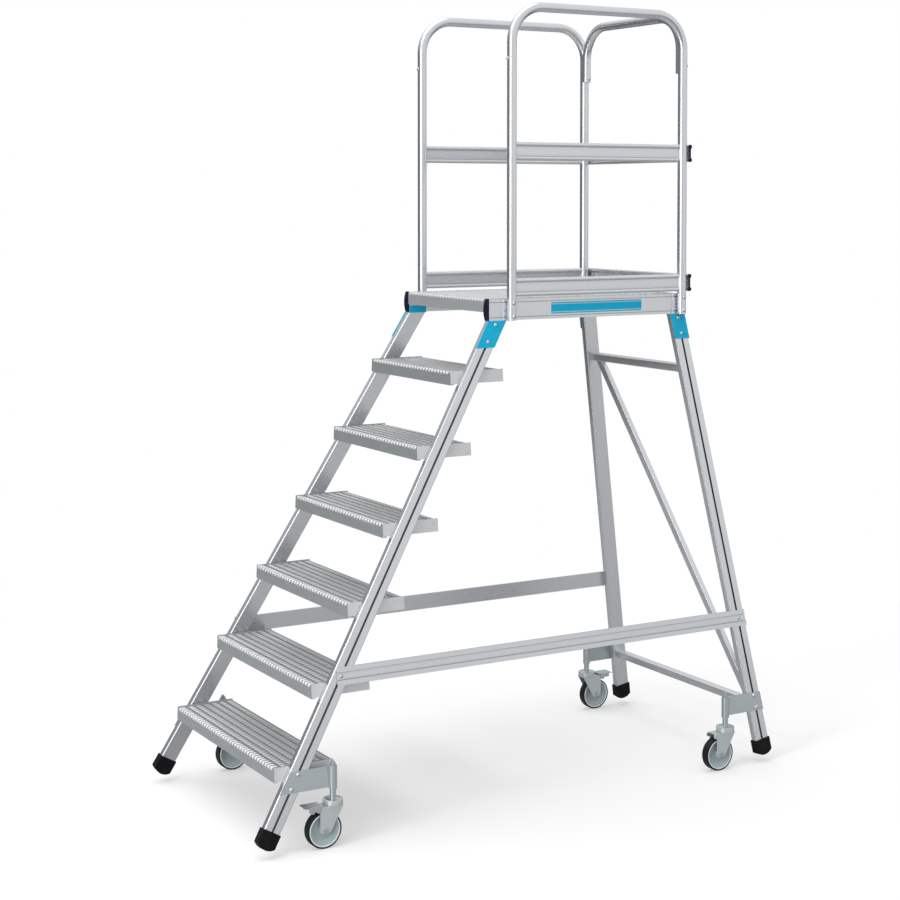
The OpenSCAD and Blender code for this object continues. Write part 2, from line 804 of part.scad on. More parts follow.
// Plate from a leg's far edge to the tube that carries the stem
module caster_bracket(end) {
    edge_y = end == FRONT ? stringer_y : rear_leg_y;
    angle = end == FRONT ? stringer_angle : rear_leg_angle;
    swivel_y = caster_y(end);
    plate_low = (plate_mid_z - plate_h / 2) / cos(splay);
    plate_y = end == FRONT ? swivel_y - far : swivel_y;
    difference() {
        union() {
            in_side_frame(RIGHT) difference() {
                translate([leg_t, plate_y, plate_low]) cube([plate_t, far, plate_h]);
                on_leg(edge_y, angle) {
                    if (end == FRONT) before_leg();
                    else behind_leg();
                    leg_bolt_places(plate_t, plate_bolts, angle) bolt_hole(2 * plate_t);
                }
            }
            translate([caster_x, swivel_y, sleeve_z]) cylinder(d = sleeve_d, h = sleeve_l);
        }
        translate([caster_x, swivel_y, sleeve_z - 1])
            cylinder(d = stem_d + 2 * running_fit, h = sleeve_l - sleeve_top + 1);
        translate([caster_x, swivel_y, sleeve_z]) cylinder(d = rod_d + 2 * side_gap, h = 2 * sleeve_l);
    }
}

module caster_brackets() {
    color(zinc) for (side = [LEFT, RIGHT], end = [FRONT, REAR]) on_side(side) caster_bracket(end);
}

// The bolts of one leg: side brace, leg bracket and caster plate
module leg_bolts(angle) {
    grip = slot_d - leg_wall / 2;
    brace_bolt_place(angle) bolt(brace_wall + grip);
    leg_bolt_places(bracket_t, bracket_bolts, angle) bolt(bracket_t + grip);
    leg_bolt_places(plate_t, plate_bolts, angle) bolt(plate_t + grip);
}

module frame_bolts() {
    color(zinc) for (side = [LEFT, RIGHT]) in_side_frame(side) {
        on_stringer() leg_bolts(stringer_angle);
        on_rear_leg() leg_bolts(rear_leg_angle);
    }
}

// Casters, drawn with the stem at the origin and the wheel trailing towards -Y

// Draws its children at one caster, turned about its stem
module caster(side, end, yaw) {
    translate([side * caster_x, caster_y(end), 0]) rotate([0, 0, yaw]) children();
}

// Kingpin, swivel race, sliding stem, spring rod, stop nut and cross pin
module stem() {
    race_z = swivel_z + side_gap;
    head_z = bridge_z - side_gap - kingpin_head_h;
    nut_z = sleeve_end_z + side_gap;
    pin_z = nut_z + nut_h + cross_pin_d;
    rod_top = pin_z + cross_pin_d;
    color(zinc) {
        translate([0, 0, head_z]) cylinder(d = kingpin_head_d, h = kingpin_head_h);
        translate([0, 0, head_z]) cylinder(d = kingpin_d, h = stem_z - head_z);
        translate([0, 0, race_z]) cylinder(d1 = race_d, d2 = collar_d, h = race_h);
        translate([0, 0, race_z]) cylinder(d = stem_d, h = stem_shoulder_z - race_z);
        translate([0, 0, stem_z]) cylinder(d = rod_d, h = rod_top - stem_z);
        translate([0, 0, nut_z]) cylinder(d = nut_d, h = nut_h, $fn = 6);
        translate([0, 0, pin_z]) rotate([0, 90, 0])
            cylinder(d = cross_pin_d, h = cross_pin_l, center = true);
    }
}

// Draw their children round the axle, and round the pedal's pivot
module on_axle() translate([0, -trail, wheel_r]) rotate([0, 90, 0]) children();
module on_pivot() translate([0, pivot_y, pivot_z]) rotate([0, 90, 0]) children();

// Spring between the stem's shoulder and the tube's top
module spring() {
    color(zinc) difference() {
        translate([0, 0, stem_shoulder_z])
            cylinder(d = stem_d - 2 * side_gap, h = spring_top_z - side_gap - stem_shoulder_z);
        cylinder(d = rod_d + 2 * side_gap, h = far);
    }
}

// Cheek outline: y along the trail, z up, from the bridge down to an end with round corners at the axle,
// its front edge running from the bridge's front corner to the front one of them
module cheek_outline() {
    rise = bridge_z - wheel_r;
    reach = bridge_front + trail;
    slant = [reach - cheek_end, rise];
    tangent = atan2(slant[1], slant[0]) - acos(cheek_end_r / norm(slant));
    back = -cheek_end - cheek_end_r;
    translate([-trail, wheel_r]) {
        for (end = [-1, 1]) translate([end * cheek_end, 0]) circle(cheek_end_r);
        polygon([
            [back, 0], [-cheek_end, -cheek_end_r], [cheek_end, -cheek_end_r],
            [cheek_end + cheek_end_r * cos(tangent), cheek_end_r * sin(tangent)],
            [reach, rise], [reach, rise + fork_t], [back, rise + fork_t]]);
    }
}

// Fork, with a bore for the pedal's pivot where it has a brake
module fork(braked = false) {
    color(zinc) difference() {
        union() {
            for (side = [LEFT, RIGHT]) on_side(side) along_x(cheek_x, cheek_out_x) {
                cheek_outline();
                translate([pivot_y, pivot_z]) circle(pivot_boss);
                translate([pivot_y, pivot_z]) square([pivot_boss, bridge_z + fork_t - pivot_z]);
            }
            translate([-cheek_out_x, pivot_y, bridge_z])
                cube([2 * cheek_out_x, bridge_front - pivot_y, fork_t]);
            translate([0, 0, bridge_z]) cylinder(d = neck_d, h = swivel_z - bridge_z);
            translate([0, 0, crown_z]) cylinder(d = crown_d, h = crown_h);
        }
        cylinder(d = kingpin_d + 2 * running_fit, h = far);
        on_axle() cylinder(d = axle_d, h = far, center = true);
        if (braked) on_pivot() cylinder(d = pivot_d + 2 * running_fit, h = far, center = true);
    }
}

module axle() {
    color(zinc) on_axle() {
        cylinder(d = axle_d, h = 2 * cheek_out_x, center = true);
        for (end = [-1, 1]) translate([0, 0, end * (cheek_out_x + axle_head_h / 2)])
            cylinder(d = axle_head_d, h = axle_head_h, center = true, $fn = 6);
    }
}

// Dished rim: x is the radius, y the width
module rim() {
    bore_r = axle_d / 2 + running_fit;
    hub_r = axle_d / 2 + hub_wall;
    hub_half = cheek_x - side_gap;
    half = wheel_w / 2 - rim_inset;
    dish_in = hub_r + rim_lip;
    dish_out = rim_r - rim_lip - rim_cone;
    web = rim_web / 2;
    color(rim_grey) on_axle() rotate_extrude() polygon([
        [bore_r, -hub_half], [hub_r, -hub_half], [dish_in, -web], [dish_out, -web],
        [rim_r - rim_lip, -half], [rim_r, -half], [rim_r, half], [rim_r - rim_lip, half],
        [dish_out, web], [dish_in, web], [hub_r, hub_half], [bore_r, hub_half]]);
}

module tyre() {
    half = wheel_w / 2;
    color(rubber) on_axle() rotate_extrude() {
        translate([rim_r, -half]) square([tyre_t - tyre_shoulder, wheel_w]);
        translate([rim_r, tyre_shoulder - half]) square([tyre_t, wheel_w - 2 * tyre_shoulder]);
        for (end = [-1, 1])
            translate([wheel_r - tyre_shoulder, end * (half - tyre_shoulder)]) circle(tyre_shoulder);
    }
}

// Brake pedal: arms on a pin through the fork, a tread plate behind and a shoe over the tyre
module pedal() {
    arm_x = cheek_out_x + side_gap;
    arm_out = arm_x + pedal_t;
    plate_z = bridge_z + fork_t + pedal_lift;
    plate_l = pedal_l + pedal_lap;
    shoe_w = wheel_w - pivot_boss;
    shoe_z = wheel_d - 2 * tyre_shoulder;
    color(zinc) {
        for (side = [LEFT, RIGHT]) on_side(side) along_x(arm_x, arm_out) {
            translate([pivot_y, pivot_z]) circle(pivot_boss);
            translate([pivot_y - pivot_boss, pivot_z])
                square([2 * pivot_boss, plate_z + pedal_t - pivot_z]);
            translate([pivot_y - skirt_l, plate_z - skirt_h]) square([skirt_l, skirt_h + pedal_t]);
        }
        translate([-arm_out, pivot_y - pedal_l, plate_z]) cube([2 * arm_out, plate_l, pedal_t]);
        translate([-shoe_w / 2, pivot_y - shoe_set - shoe_l, shoe_z])
            cube([shoe_w, shoe_l, plate_z + pedal_t - shoe_z]);
        on_pivot() cylinder(d = pivot_d, h = arm_x + arm_out, center = true);
    }
}

module front_right() caster(RIGHT, FRONT, front_right_yaw) children();
module front_left() caster(LEFT, FRONT, front_left_yaw) children();
module rear_right() caster(RIGHT, REAR, rear_right_yaw) children();
module rear_left() caster(LEFT, REAR, rear_left_yaw) children();

stringer(LEFT);  // stringer_left
stringer(RIGHT);  // stringer_right
rear_leg(LEFT);  // rear_leg_left
rear_leg(RIGHT);  // rear_leg_right
tread(1);  // tread_1
tread(2);  // tread_2
tread(3);  // tread_3
tread(4);  // tread_4
tread(5);  // tread_5
tread(6);  // tread_6
deck_planks();
platform_beam(LEFT);  // platform_beam_left
platform_beam(RIGHT);  // platform_beam_right
platform_rear_beam();
beam_end_caps();
rear_crossbar(crossbar_top_z);  // rear_crossbar_top
rear_crossbar(crossbar_bottom_z);  // rear_crossbar_bottom
rear_diagonal_brace();
side_brace(LEFT);  // side_brace_left
side_brace(RIGHT);  // side_brace_right
leg_feet();
leg_brackets();
handrail(LEFT);  // handrail_left
handrail(RIGHT);  // handrail_right
side_mid_rails();
side_toe_boards();
rear_handrail();
rear_board(mid_rail_h);  // rear_mid_rail
rear_board(toe_board_h);  // rear_toe_board
rear_rail_caps();
caster_brackets();
frame_bolts();
guardrail_bolts();
front_right() stem();  // front_right_stem
front_left() stem();  // front_left_stem
rear_right() stem();  // rear_right_stem
rear_left() stem();  // rear_left_stem
front_right() spring();  // front_right_spring
front_left() spring();  // front_left_spring
rear_right() spring();  // rear_right_spring
rear_left() spring();  // rear_left_spring
front_right() fork(braked = true);  // front_right_fork
front_left() fork();  // front_left_fork
rear_right() fork();  // rear_right_fork
rear_left() fork(braked = true);  // rear_left_fork
front_right() axle();  // front_right_axle
front_left() axle();  // front_left_axle
rear_right() axle();  // rear_right_axle
rear_left() axle();  // rear_left_axle
front_right() rim();  // front_right_rim
front_left() rim();  // front_left_rim
rear_right() rim();  // rear_right_rim
rear_left() rim();  // rear_left_rim
front_right() tyre();  // front_right_tyre
front_left() tyre();  // front_left_tyre
rear_right() tyre();  // rear_right_tyre
rear_left() tyre();  // rear_left_tyre
front_right() pedal();  // front_right_pedal
rear_left() pedal();  // rear_left_pedal
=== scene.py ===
"""Looks of the mobile platform ladder: finishes, modelled pieces, studio and camera."""

import logging
import math
from dataclasses import dataclass
from enum import Enum
from typing import Any, Callable, Sequence

import bpy
from mathutils import Matrix, Vector


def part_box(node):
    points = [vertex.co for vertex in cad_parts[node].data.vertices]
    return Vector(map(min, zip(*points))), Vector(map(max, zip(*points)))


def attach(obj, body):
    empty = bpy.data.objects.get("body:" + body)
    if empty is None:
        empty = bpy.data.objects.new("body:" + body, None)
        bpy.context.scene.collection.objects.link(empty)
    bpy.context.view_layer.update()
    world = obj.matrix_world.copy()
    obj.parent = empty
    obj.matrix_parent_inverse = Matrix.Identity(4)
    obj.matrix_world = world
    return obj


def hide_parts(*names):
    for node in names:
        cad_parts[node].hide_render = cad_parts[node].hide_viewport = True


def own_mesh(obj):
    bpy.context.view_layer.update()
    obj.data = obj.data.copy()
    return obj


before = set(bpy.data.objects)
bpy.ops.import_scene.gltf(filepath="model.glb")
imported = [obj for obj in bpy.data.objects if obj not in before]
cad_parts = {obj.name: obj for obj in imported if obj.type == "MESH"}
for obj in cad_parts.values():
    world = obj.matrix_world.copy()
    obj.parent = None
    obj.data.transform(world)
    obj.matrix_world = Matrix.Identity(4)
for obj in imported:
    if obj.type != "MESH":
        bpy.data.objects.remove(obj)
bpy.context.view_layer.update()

LOG = logging.getLogger("platform_ladder")

Colour = tuple[float, float, float]
Point = tuple[float, float, float]
Range = tuple[float, float]

FRAME_BODY = "frame"
TREADS = range(1, 7)
WIRE_SIDES = 8
WIRE_ANGLE = 60.0
WHITE = (1.0, 1.0, 1.0, 1.0)

# Distance in metres under which two places count as one
NEAR = 1e-5

# Share of a normal along an axis from which a face counts as facing that way
FACING = 0.5

# Sockets of a mix node for colours
MIX_FACTOR = 0
MIX_FIRST = 6
MIX_SECOND = 7
MIX_RESULT = 2


# Choices


class Corner(Enum):
    """Corner of the ladder with a caster."""

    FRONT_RIGHT = "front_right"
    FRONT_LEFT = "front_left"
    REAR_RIGHT = "rear_right"
    REAR_LEFT = "rear_left"

    @property
    def yaw(self) -> float:
        """Turn of the caster about its stem."""
        turns = {"front_right": 0.0, "front_left": 182.0, "rear_right": 1.0, "rear_left": 179.0}
        return math.radians(turns[self.value])

    @property
    def braked(self) -> bool:
        """Whether the caster has a brake pedal."""
        return self in (Corner.FRONT_RIGHT, Corner.REAR_LEFT)

    def part(self, name: str) -> str:
        """Names a node, body, joint or piece of the caster.

        Args:
            name: Its name within the caster, such as fork.

        Returns:
            The name with the corner before it.
        """
        return f"{self.value}_{name}"


class Grain(Enum):
    """Way in which an extrusion was drawn, as the turn that takes the X axis onto it."""

    ACROSS = (0.0, 0.0, 0.0)
    DEPTH = (0.0, 0.0, math.pi / 2)
    UPRIGHT = (0.0, -math.pi / 2, 0.0)
    STRINGER = (0.0, math.radians(-59.5), math.pi / 2)
    REAR_LEG = (0.0, math.radians(-100.0), math.pi / 2)
    DIAGONAL = (0.0, math.radians(-120.0), 0.0)


# Finishes


class NodeSheet:
    """A node tree under construction, with short calls for its nodes and links."""

    def __init__(self, tree: bpy.types.NodeTree) -> None:
        """Clears a node tree to start on it.

        Args:
            tree: The node tree.
        """
        self.tree = tree
        self.tree.nodes.clear()

    def add(self, kind: str, sockets: dict[str | int, Any] | None = None,
            **settings: Any) -> bpy.types.Node:
        """Adds a node.

        Args:
            kind: Node type.
            sockets: Values of its input sockets, by name or number.
            **settings: Values of its properties.

        Returns:
            The new node.
        """
        node = self.tree.nodes.new(kind)
        for key, value in settings.items():
            setattr(node, key, value)
        for key, value in (sockets or {}).items():
            node.inputs[key].default_value = value
        return node

    def link(self, source: bpy.types.Node, out: str | int, target: bpy.types.Node, into: str | int) -> None:
        """Links an output socket to an input socket."""
        self.tree.links.new(source.outputs[out], target.inputs[into])

    def place(self, turn: Sequence[float] = (0.0, 0.0, 0.0),
              grain: Sequence[float] = (1.0, 1.0, 1.0)) -> bpy.types.Node:
        """Adds object coordinates, turned and divided into grains.

        Args:
            turn: Turn that takes the X axis onto the grain's length.
            grain: Size of one grain along its length and across, in metres.

        Returns:
            The mapping node.
        """
        where = self.add("ShaderNodeTexCoord")
        mapping = self.add("ShaderNodeMapping", {"Rotation": turn, "Scale": grain}, vector_type="TEXTURE")
        self.link(where, "Object", mapping, "Vector")
        return mapping

    def noise(self, mapping: bpy.types.Node, detail: float = 3.0, roughness: float = 0.55) -> bpy.types.Node:
        """Adds noise of one grain per unit on a mapping.

        Args:
            mapping: Node that gives the place.
            detail: Number of finer layers.
            roughness: Strength of the finer layers.

        Returns:
            The noise node.
        """
        noise = self.add("ShaderNodeTexNoise", {"Scale": 1.0, "Detail": detail, "Roughness": roughness})
        self.link(mapping, "Vector", noise, "Vector")
        return noise

    def spread(self, source: bpy.types.Node, out: str | int, low: float, high: float,
               start: float = 0.3, end: float = 0.7) -> bpy.types.Node:
        """Maps a value onto a range.

        Args:
            source: Node that gives the value.
            out: Its output socket.
            low: Result at start.
            high: Result at end.
            start: Value that gives low.
            end: Value that gives high.

        Returns:
            The mapping node.
        """
        node = self.add("ShaderNodeMapRange",
                        {"From Min": start, "From Max": end, "To Min": low, "To Max": high})
        self.link(source, out, node, "Value")
        return node

    def blend(self, factor: bpy.types.Node, out: str | int, first: Colour | bpy.types.Node,
              second: Colour) -> bpy.types.Node:
        """Mixes two colours by a factor.

        Args:
            factor: Node that gives the factor.
            out: Its output socket.
            first: Colour, or an earlier mix, at factor 0.
            second: Colour at factor 1.

        Returns:
            The mix node.
        """
        mix = self.add("ShaderNodeMix", data_type="RGBA")
        self.link(factor, out, mix, MIX_FACTOR)
        if isinstance(first, tuple):
            mix.inputs[MIX_FIRST].default_value = (*first, 1.0)
        else:
            self.link(first, MIX_RESULT, mix, MIX_FIRST)
        mix.inputs[MIX_SECOND].default_value = (*second, 1.0)
        return mix

    def bump(self, height: bpy.types.Node, out: str | int, strength: float,
             distance: float) -> bpy.types.Node:
        """Adds a bump from a height.

        Args:
            height: Node that gives the height.
            out: Its output socket.
            strength: Share of the bump that shows.
            distance: Height in metres that a value of 1 stands for.

        Returns:
            The bump node.
        """
        node = self.add("ShaderNodeBump", {"Strength": strength, "Distance": distance})
        self.link(height, out, node, "Height")
        return node


class NodeBench(NodeSheet):
    """A material under construction."""

    def __init__(self, name: str) -> None:
        """Starts a material with a shader and an output.

        Args:
            name: Name of the material.
        """
        self.material = bpy.data.materials.new(name)
        self.material.use_nodes = True
        super().__init__(self.material.node_tree)
        self.shader = self.add("ShaderNodeBsdfPrincipled")
        self.output = self.add("ShaderNodeOutputMaterial")
        self.link(self.shader, "BSDF", self.output, "Surface")

    def finish(self, colour: bpy.types.Node, roughness: bpy.types.Node,
               normal: bpy.types.Node) -> bpy.types.Material:
        """Joins the colour, roughness and bump to the shader.

        Args:
            colour: Mix of the colours.
            roughness: Node whose result is the roughness.
            normal: Bump of the surface.

        Returns:
            The material.
        """
        self.link(colour, MIX_RESULT, self.shader, "Base Color")
        self.link(roughness, "Result", self.shader, "Roughness")
        self.link(normal, "Normal", self.shader, "Normal")
        return self.material


@dataclass(frozen=True)
class DrawnAluminium:
    """Mill-finish aluminium extrusion or tube with fine lines along its length, and painted shade in its
    grooves, slots and corners.
    """

    name: str
    grain: Grain
    light: Colour = (0.645, 0.664, 0.690)
    dark: Colour = (0.605, 0.625, 0.652)
    smooth: float = 0.255
    rough: float = 0.275
    metallic: float = 0.88
    # Painted shade: colour that ambient occlusion blends into grooves, slots and corners, with its reach,
    # range and samples
    painted_groove_shade: Colour = (0.24, 0.248, 0.256)
    occlusion_reach: float = 0.012
    occlusion_range: Range = (0.5, 0.97)
    occlusion_samples: int = 8
    line_grain: Point = (0.9, 0.010, 0.010)
    line_share: float = 0.14
    line_range: Range = (0.45, 0.75)
    cloud_grain: Point = (0.5, 0.09, 0.09)
    cloud_share: float = 0.6
    relief: float = 0.01
    relief_depth: float = 0.00003

    def build(self) -> bpy.types.Material:
        """Makes the material.

        Returns:
            The material.
        """
        bench = NodeBench(self.name)
        bench.shader.inputs["Metallic"].default_value = self.metallic
        lines = bench.noise(bench.place(self.grain.value, self.line_grain))
        cloud = bench.noise(bench.place(self.grain.value, self.cloud_grain), detail=2.0)
        clouded = bench.spread(cloud, "Fac", 0.0, self.cloud_share)
        tone = bench.blend(clouded, "Result", self.light, self.dark)
        lined = bench.spread(lines, "Fac", 0.0, self.line_share, *self.line_range)
        tone = bench.blend(lined, "Result", tone, self.dark)
        # Painted shade in grooves, slots and corners, from local ambient occlusion
        corner = bench.add("ShaderNodeAmbientOcclusion", {"Distance": self.occlusion_reach},
                           samples=self.occlusion_samples, only_local=True)
        painted_shade_share = bench.spread(corner, "AO", 1.0, 0.0, *self.occlusion_range)
        tone = bench.blend(painted_shade_share, "Result", tone, self.painted_groove_shade)
        rough = bench.spread(lines, "Fac", self.smooth, self.rough)
        return bench.finish(tone, rough, bench.bump(lines, "Fac", self.relief, self.relief_depth))


@dataclass(frozen=True)
class GripAluminium:
    """Satin aluminium of the treads: dark on top as painted shade between the pads, grained on the walls and
    bright on the end plates.
    """

    name: str
    wall: Colour = (0.41, 0.436, 0.446)
    shade: Colour = (0.35, 0.374, 0.384)
    # Colour of the faces that point up: painted shade between the pads
    top: Colour = (0.25, 0.262, 0.27)
    plate: Colour = (0.68, 0.69, 0.705)
    metallic: float = 0.5
    grain: float = 0.0028
    grain_share: float = 0.4
    grain_range: Range = (0.4, 0.75)
    cloud_grain: Point = (0.06, 0.03, 0.03)
    cloud_share: float = 0.6
    top_shade_range: Range = (0.6, 0.9)
    plate_range: Range = (0.8, 0.95)
    smooth: float = 0.38
    rough: float = 0.56
    relief: float = 0.15
    relief_depth: float = 0.0003

    def facing(self, bench: NodeBench, axis: str, low: float, high: float) -> bpy.types.Node:
        """Adds a factor for the faces that point along an axis, one way or the other.

        Args:
            bench: Bench of the material.
            axis: X, Y or Z.
            low: Share of the normal along the axis that gives 0.
            high: Share that gives 1.

        Returns:
            The node whose result is the factor.
        """
        parts = bench.add("ShaderNodeSeparateXYZ")
        bench.link(bench.add("ShaderNodeTexCoord"), "Normal", parts, "Vector")
        size = bench.add("ShaderNodeMath", operation="ABSOLUTE")
        bench.link(parts, axis, size, 0)
        return bench.spread(size, "Value", 0.0, 1.0, low, high)

    def build(self) -> bpy.types.Material:
        """Makes the material.

        Returns:
            The material.
        """
        bench = NodeBench(self.name)
        bench.shader.inputs["Metallic"].default_value = self.metallic
        grain = bench.noise(bench.place(grain=[self.grain] * 3), detail=5.0, roughness=0.65)
        cloud = bench.noise(bench.place(grain=self.cloud_grain))
        clouded = bench.spread(cloud, "Fac", 0.0, self.cloud_share)
        tone = bench.blend(clouded, "Result", self.wall, self.shade)
        # Painted shade: faces that point up take the dark top colour
        tone = bench.blend(self.facing(bench, "Z", *self.top_shade_range), "Result", tone, self.top)
        tone = bench.blend(self.facing(bench, "X", *self.plate_range), "Result", tone, self.plate)
        grained = bench.spread(grain, "Fac", 0.0, self.grain_share, *self.grain_range)
        tone = bench.blend(grained, "Result", tone, self.shade)
        rough = bench.spread(grain, "Fac", self.smooth, self.rough)
        return bench.finish(tone, rough, bench.bump(grain, "Fac", self.relief, self.relief_depth))


@dataclass(frozen=True)
class ZincPlate:
    """Bright zinc-plated steel with a faint crystal pattern."""

    name: str
    light: Colour = (0.46, 0.51, 0.524)
    dark: Colour = (0.41, 0.46, 0.475)
    metallic: float = 0.75
    crystal: float = 0.006
    crystal_share: float = 0.4
    crystal_range: Range = (0.2, 0.9)
    shine_range: Range = (0.1, 0.9)
    grain: float = 0.0025
    grain_share: float = 0.2
    smooth: float = 0.22
    rough: float = 0.25
    relief: float = 0.03
    relief_depth: float = 0.00003

    def build(self) -> bpy.types.Material:
        """Makes the material.

        Returns:
            The material.
        """
        bench = NodeBench(self.name)
        bench.shader.inputs["Metallic"].default_value = self.metallic
        crystals = bench.add("ShaderNodeTexVoronoi", {"Scale": 1.0}, feature="F1")
        bench.link(bench.place(grain=[self.crystal] * 3), "Vector", crystals, "Vector")
        grain = bench.noise(bench.place(grain=[self.grain] * 3), detail=4.0)
        pattern = bench.spread(crystals, "Color", 0.0, self.crystal_share, *self.crystal_range)
        tone = bench.blend(pattern, "Result", self.light, self.dark)
        tone = bench.blend(bench.spread(grain, "Fac", 0.0, self.grain_share), "Result", tone, self.dark)
        rough = bench.spread(crystals, "Color", self.smooth, self.rough, *self.shine_range)
        return bench.finish(tone, rough, bench.bump(grain, "Fac", self.relief, self.relief_depth))


@dataclass(frozen=True)
class Coat:
    """Paint, moulded plastic or rubber: one hue with slight variation and a fine skin."""

    name: str
    base: Colour
    shade: Colour
    smooth: float
    rough: float
    gloss: float = 0.3
    skin: float = 0.0012
    relief: float = 0.1
    relief_depth: float = 0.0002
    cloud: float = 0.05

    def build(self) -> bpy.types.Material:
        """Makes the material.

        Returns:
            The material.
        """
        bench = NodeBench(self.name)
        bench.shader.inputs["Specular IOR Level"].default_value = self.gloss
        cloud = bench.noise(bench.place(grain=[self.cloud] * 3))
        skin = bench.noise(bench.place(grain=[self.skin] * 3))
        tone = bench.blend(bench.spread(cloud, "Fac", 0.0, 1.0), "Result", self.base, self.shade)
        rough = bench.spread(skin, "Fac", self.smooth, self.rough)
        return bench.finish(tone, rough, bench.bump(skin, "Fac", self.relief, self.relief_depth))


@dataclass(frozen=True)
class StripPrint:
    """Blue strip with two thin pale lines along it."""

    name: str
    middle: float
    half: float
    base: Colour = (0.006, 0.50, 0.80)
    line: Colour = (0.55, 0.72, 0.82)
    line_place: float = 0.72
    line_half: float = 0.0012
    line_edge: float = 0.0016
    gloss: float = 0.2
    smooth: float = 0.3
    rough: float = 0.42
    skin: float = 0.002
    relief: float = 0.05
    relief_depth: float = 0.0001

    def build(self) -> bpy.types.Material:
        """Makes the material.

        Returns:
            The material.
        """
        bench = NodeBench(self.name)
        place = bench.add("ShaderNodeMapping", {"Location": (0.0, 0.0, self.middle)}, vector_type="TEXTURE")
        bench.link(bench.add("ShaderNodeTexCoord"), "Object", place, "Vector")
        parts = bench.add("ShaderNodeSeparateXYZ")
        bench.link(place, "Vector", parts, "Vector")
        away = bench.add("ShaderNodeMath", operation="ABSOLUTE")
        bench.link(parts, "Z", away, 0)
        off = bench.add("ShaderNodeMath", {1: self.half * self.line_place}, operation="SUBTRACT")
        bench.link(away, "Value", off, 0)
        near = bench.add("ShaderNodeMath", operation="ABSOLUTE")
        bench.link(off, "Value", near, 0)
        lined = bench.spread(near, "Value", 1.0, 0.0, self.line_half, self.line_edge)
        tone = bench.blend(lined, "Result", self.base, self.line)
        skin = bench.noise(bench.place(grain=[self.skin] * 3))
        rough = bench.spread(skin, "Fac", self.smooth, self.rough)
        bench.shader.inputs["Specular IOR Level"].default_value = self.gloss
        return bench.finish(tone, rough, bench.bump(skin, "Fac", self.relief, self.relief_depth))


class Finishes:
    """All finishes of the ladder, each made once."""

    def __init__(self) -> None:
        """Makes the materials."""
        self.drawn = {grain: DrawnAluminium(f"aluminium_{grain.name.lower()}", grain).build()
                      for grain in Grain}
        self.grip = GripAluminium("tread_aluminium").build()
        # Lighter copy of the tread finish for the deck: painted light on its front walls
        self.deck = GripAluminium("deck_aluminium_painted_light", (0.53, 0.56, 0.575), (0.45, 0.48, 0.495)).build()
        self.pad = DrawnAluminium("pad_aluminium", Grain.ACROSS, (0.66, 0.675, 0.685), (0.58, 0.595, 0.605),
                                  smooth=0.3, rough=0.36, metallic=0.5).build()
        # Near-white nose bars: painted highlight of the serrations catching light
        self.nose_highlight = DrawnAluminium("nose_bar_highlight", Grain.DEPTH, (0.95, 0.955, 0.96), (0.86, 0.865, 0.87),
                                    smooth=0.2, rough=0.32, metallic=0.2).build()
        self.zinc = ZincPlate("zinc_steel").build()
        self.fork = ZincPlate("fork_zinc", (0.60, 0.645, 0.66), (0.54, 0.59, 0.60), metallic=0.5).build()
        self.blue = Coat("bracket_blue", (0.008, 0.52, 0.81), (0.007, 0.48, 0.76),
                         smooth=0.3, rough=0.42, gloss=0.2).build()
        self.navy = Coat("cap_navy", (0.006, 0.005, 0.022), (0.011, 0.010, 0.034),
                         smooth=0.35, rough=0.5, gloss=0.2).build()
        self.foot = Coat("foot_rubber", (0.004, 0.004, 0.004), (0.009, 0.009, 0.009),
                         smooth=0.5, rough=0.7, gloss=0.12, skin=0.002, relief=0.25).build()
        self.tyre = Coat("tyre_rubber", (0.006, 0.006, 0.006), (0.012, 0.012, 0.012),
                         smooth=0.4, rough=0.6, gloss=0.2, skin=0.002, relief=0.2).build()
        self.rim = Coat("rim_grey", (0.42, 0.50, 0.53), (0.38, 0.46, 0.49),
                        smooth=0.22, rough=0.36, gloss=0.5, skin=0.004, relief=0.05).build()
        # Pale rim beads: painted highlight on the rims' edges
        self.highlight_bead = Coat("rim_bead_highlight", (0.85, 0.92, 0.94), (0.80, 0.88, 0.90),
                         smooth=0.18, rough=0.3, gloss=0.5, skin=0.004, relief=0.05).build()


def dress(names: Sequence[str], material: bpy.types.Material) -> None:
    """Gives CAD nodes a finish.

    Args:
        names: Names of the nodes.
        material: The finish.
    """
    for name in names:
        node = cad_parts[name]
        node.data.materials.clear()
        node.data.materials.append(material)
        LOG.info("dressed %s with %s", name, material.name)


# Modelling


